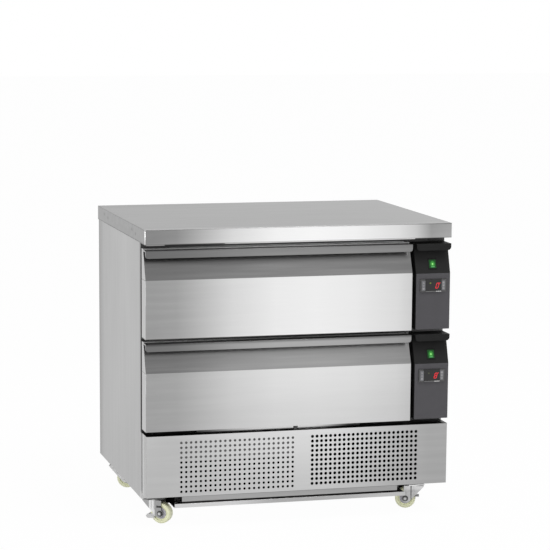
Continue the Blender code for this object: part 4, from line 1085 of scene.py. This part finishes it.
def build_displays():
    """Window, figure, lamp and painted highlight line of each controller, and the signs on its key pads."""
    for level, sign in FIGURES.items():
        node = f"controller_{level}"
        low, high = box_of(node)
        middle = (low + high) / 2
        left, right = box_of(f"key_left_{level}"), box_of(f"key_right_{level}")
        start, end = left[1].x + WINDOW_GAP, right[0].x - WINDOW_GAP
        plates(f"display_window_{level}", GLASS, node,
               ((start, low.y - 0.0004, low.z + WINDOW_FOOT), (end, low.y + 0.0006, high.z - WINDOW_TOP)))
        mesh = bmesh.new()
        digit(mesh, sign, (end - 0.0115, low.y - 0.0006, middle.z - 0.0005))
        cuboid(mesh, (end - 0.0048, low.y - 0.0007, middle.z + 0.0058),
               (end - 0.0026, low.y - 0.0004, middle.z + 0.0082))
        add(f"display_figure_{level}", mesh, RED, node, smooth=False)
        plates(f"display_lamp_{level}", STATUS_LAMPS[level], node,
               ((start + 0.0115, low.y - 0.0007, middle.z + 0.0058),
                (start + 0.0160, low.y - 0.0004, middle.z + 0.0086)))
        # Painted highlight along the bezel's foot, with its brighter glint at the right
        plates(f"bezel_highlight_{level}", HIGHLIGHT_DIM, node,
               ((start - 0.0005, low.y - 0.0007, low.z + LINE_RISE[0]),
                (end - GLINT_LONG, low.y + 0.0004, low.z + LINE_RISE[1])))
        plates(f"bezel_glint_{level}", HIGHLIGHT_GLINT, node,
               ((end - GLINT_LONG, low.y - 0.0008, low.z + LINE_RISE[0]),
                (end + 0.0005, low.y + 0.0004, low.z + LINE_RISE[1])))
        for side, corners in (("left", left), ("right", right)):
            build_key_signs(side, level, *corners)


def build_key_signs(side, level, low, high):
    """Two arrows and a ring on the left pad, three rings on the right one."""
    mesh = bmesh.new()
    middle = (low + high) / 2
    step = (high.z - low.z) / 3.4
    for index in (-1, 0, 1):
        centre = Vector((middle.x, low.y - 0.0001, middle.z + step * index))
        arrow = side == "left" and index >= 0
        verts = bmesh.ops.create_cone(mesh, cap_ends=True, segments=3 if arrow else 10, radius1=SIGN_RADIUS,
                                      radius2=SIGN_RADIUS, depth=SIGN_DEPTH)["verts"]
        tip = math.radians(180 if arrow and index == 0 else 0)
        turn = Matrix.Rotation(tip, 4, "Y") @ Matrix.Rotation(math.radians(90), 4, "X")
        bmesh.ops.transform(mesh, matrix=Matrix.Translation(centre) @ turn, verts=verts)
        if not arrow:
            faces = {face for vert in verts for face in vert.link_faces}
            front = min(faces, key=lambda face: face.calc_center_median().y)
            bmesh.ops.inset_region(mesh, faces=[front], thickness=RING_WIDTH)
            bmesh.ops.translate(mesh, vec=(0.0, RING_HOLLOW, 0.0), verts=front.verts)
    node = f"key_{side}_{level}"
    add(f"key_signs_{side}_{level}", mesh, SIGN, node, smooth=False)


def build_panels():
    """The folded panels, each with its bends rounded."""
    softened("worktop", STEEL_TOP, 0.0009)
    for side in ("left", "right"):
        softened(f"side_panel_{side}", STEEL_SIDE, 0.0004)
    for level in LEVELS:
        steel = brushed(f"front_steel_{level}", front_tone(level), roughness=0.30, dull=upstand(level))
        softened(f"drawer_front_{level}", steel, 0.0006)
        softened(f"control_housing_{level}", BLACK, 0.0006)
        softened(f"control_overlay_{level}", OVERLAY, 0.0003)
    softened("tray_guide", STEEL_SILL, 0.0003)
    softened("condensate_tray", STEEL_TRAY, 0.0003)


def finish_nodes():
    """Gives each node the finish of the longest name that its own begins with."""
    plain = {
        "back_panel": ZINC_DULL, "front_frame": STEEL_FRAME, "body_insulation": FOAM, "liner": STEEL_LINER,
        "drawer_inner": INNER, "drawer_gasket": RUBBER, "drawer_tub": STEEL_LINER, "runner": ZINC_DULL,
        "key": KEY, "evaporator_fan": WHITE_PLASTIC, "evaporator": FINS_EVAPORATOR,
        "grille_panel": STEEL_GRILLE, "base_pan": ZINC_DULL, "thumb_screw": ZINC_DARK,
        "condenser": FINS_CONDENSER, "condenser_fan": BLACK, "compressor": ENAMEL,
        "refrigerant_pipes": COPPER, "castor_fork": ZINC, "castor_fork_rear": ZINC_DULL,
        # The castor plates in painted shade, the front right one in painted light
        "castor_wheel": CREAM, "castor_plate": ZINC_SHADE, "castor_plate_front_right": ZINC_SHINY_AND_LIT,
        "brake_pedal": ZINC, "power_inlet": BLACK,
    }
    for corner in CORNERS[:2]:
        plain[f"castor_fork_{corner}"] = fork_zinc(corner)
    for level in LEVELS:
        plain[f"controller_{level}"] = bezel(level)
        plain[f"rocker_{level}"] = switch_green(level)
    for name, item in frame["nodes"].items():
        matches = [start for start in plain if name.startswith(start)]
        if matches:
            paint(item, plain[max(matches, key=len)])


def plainly_seen(nodes):
    """1 for what the camera sees straight, in metal or through glass, and 0 for light on the object."""
    path = nodes.node("ShaderNodeLightPath").outputs
    shown = Value(nodes, path["Is Glossy Ray"]).math("MAXIMUM", path["Is Transmission Ray"])
    return Value(nodes, path["Is Camera Ray"]).math("MAXIMUM", shown)


def build_floor():
    """A floor that looks white and still keeps the object's shadow."""
    mesh = bmesh.new()
    bmesh.ops.create_grid(mesh, x_segments=1, y_segments=1, size=FLOOR_SIZE)
    data = bpy.data.meshes.new("floor")
    mesh.to_mesh(data)
    mesh.free()
    floor = bpy.data.objects.new("floor", data)
    bpy.context.scene.collection.objects.link(floor)
    material = bpy.data.materials.new("floor_white")
    material.use_nodes = True
    nodes = Nodes(material.node_tree)
    nodes.tree.nodes.clear()
    matt = nodes.node("ShaderNodeBsdfDiffuse", None, (0.85, 0.85, 0.85))
    glow = nodes.node("ShaderNodeEmission", None, WHITE)
    share = plainly_seen(nodes) * FLOOR_GLOW
    mixed = nodes.node("ShaderNodeMixShader", None, share, matt.outputs[0], glow.outputs[0])
    nodes.node("ShaderNodeOutputMaterial", None, mixed.outputs[0])
    data.materials.append(material)


def build_world():
    """A world that looks white and lights the object a little less than that."""
    world = bpy.data.worlds.new("studio")
    bpy.context.scene.world = world
    world.use_nodes = True
    nodes = Nodes(world.node_tree)
    nodes.tree.nodes.clear()
    dim = nodes.node("ShaderNodeBackground", None, WHITE, WORLD_DIM)
    white = nodes.node("ShaderNodeBackground", None, WHITE, 1.0)
    mixed = nodes.node("ShaderNodeMixShader", None, plainly_seen(nodes), dim.outputs[0], white.outputs[0])
    nodes.node("ShaderNodeOutputWorld", None, mixed.outputs[0])


def add_lamp(name, place, size, power):
    """A square area lamp that faces the middle of the object."""
    lamp = bpy.data.lights.new(name, "AREA")
    lamp.shape = "SQUARE"
    lamp.size = size
    lamp.energy = power
    item = bpy.data.objects.new(name, lamp)
    bpy.context.scene.collection.objects.link(item)
    item.location = place
    aim = Vector(LAMP_AIM) - Vector(place)
    item.rotation_euler = aim.to_track_quat("-Z", "Y").to_euler()


def build_camera():
    """The camera of the photograph."""
    camera = bpy.data.cameras.new("camera")
    camera.sensor_width = SENSOR
    camera.lens = LENS
    camera.shift_x, camera.shift_y = SHIFT
    eye = bpy.data.objects.new("camera", camera)
    bpy.context.scene.collection.objects.link(eye)
    turn = Matrix.Rotation(math.radians(-YAW), 4, "Z") @ Matrix.Rotation(math.radians(90 - PITCH), 4, "X")
    eye.matrix_world = Matrix.Translation(EYE) @ turn @ Matrix.Rotation(math.radians(ROLL), 4, "Z")
    bpy.context.scene.camera = eye
    bpy.context.scene.view_settings.view_transform = "Standard"


build_floor()
build_world()
for lamp_name, lamp_values in STUDIO_LAMPS.items():
    add_lamp(lamp_name, *lamp_values)
build_camera()
finish_nodes()
build_panels()
build_vent_panel()
build_behind_vents()
build_displays()
build_castor_trim()
build_shade_plates()
build_pedal_cheeks()
build_hems()
build_back_details()
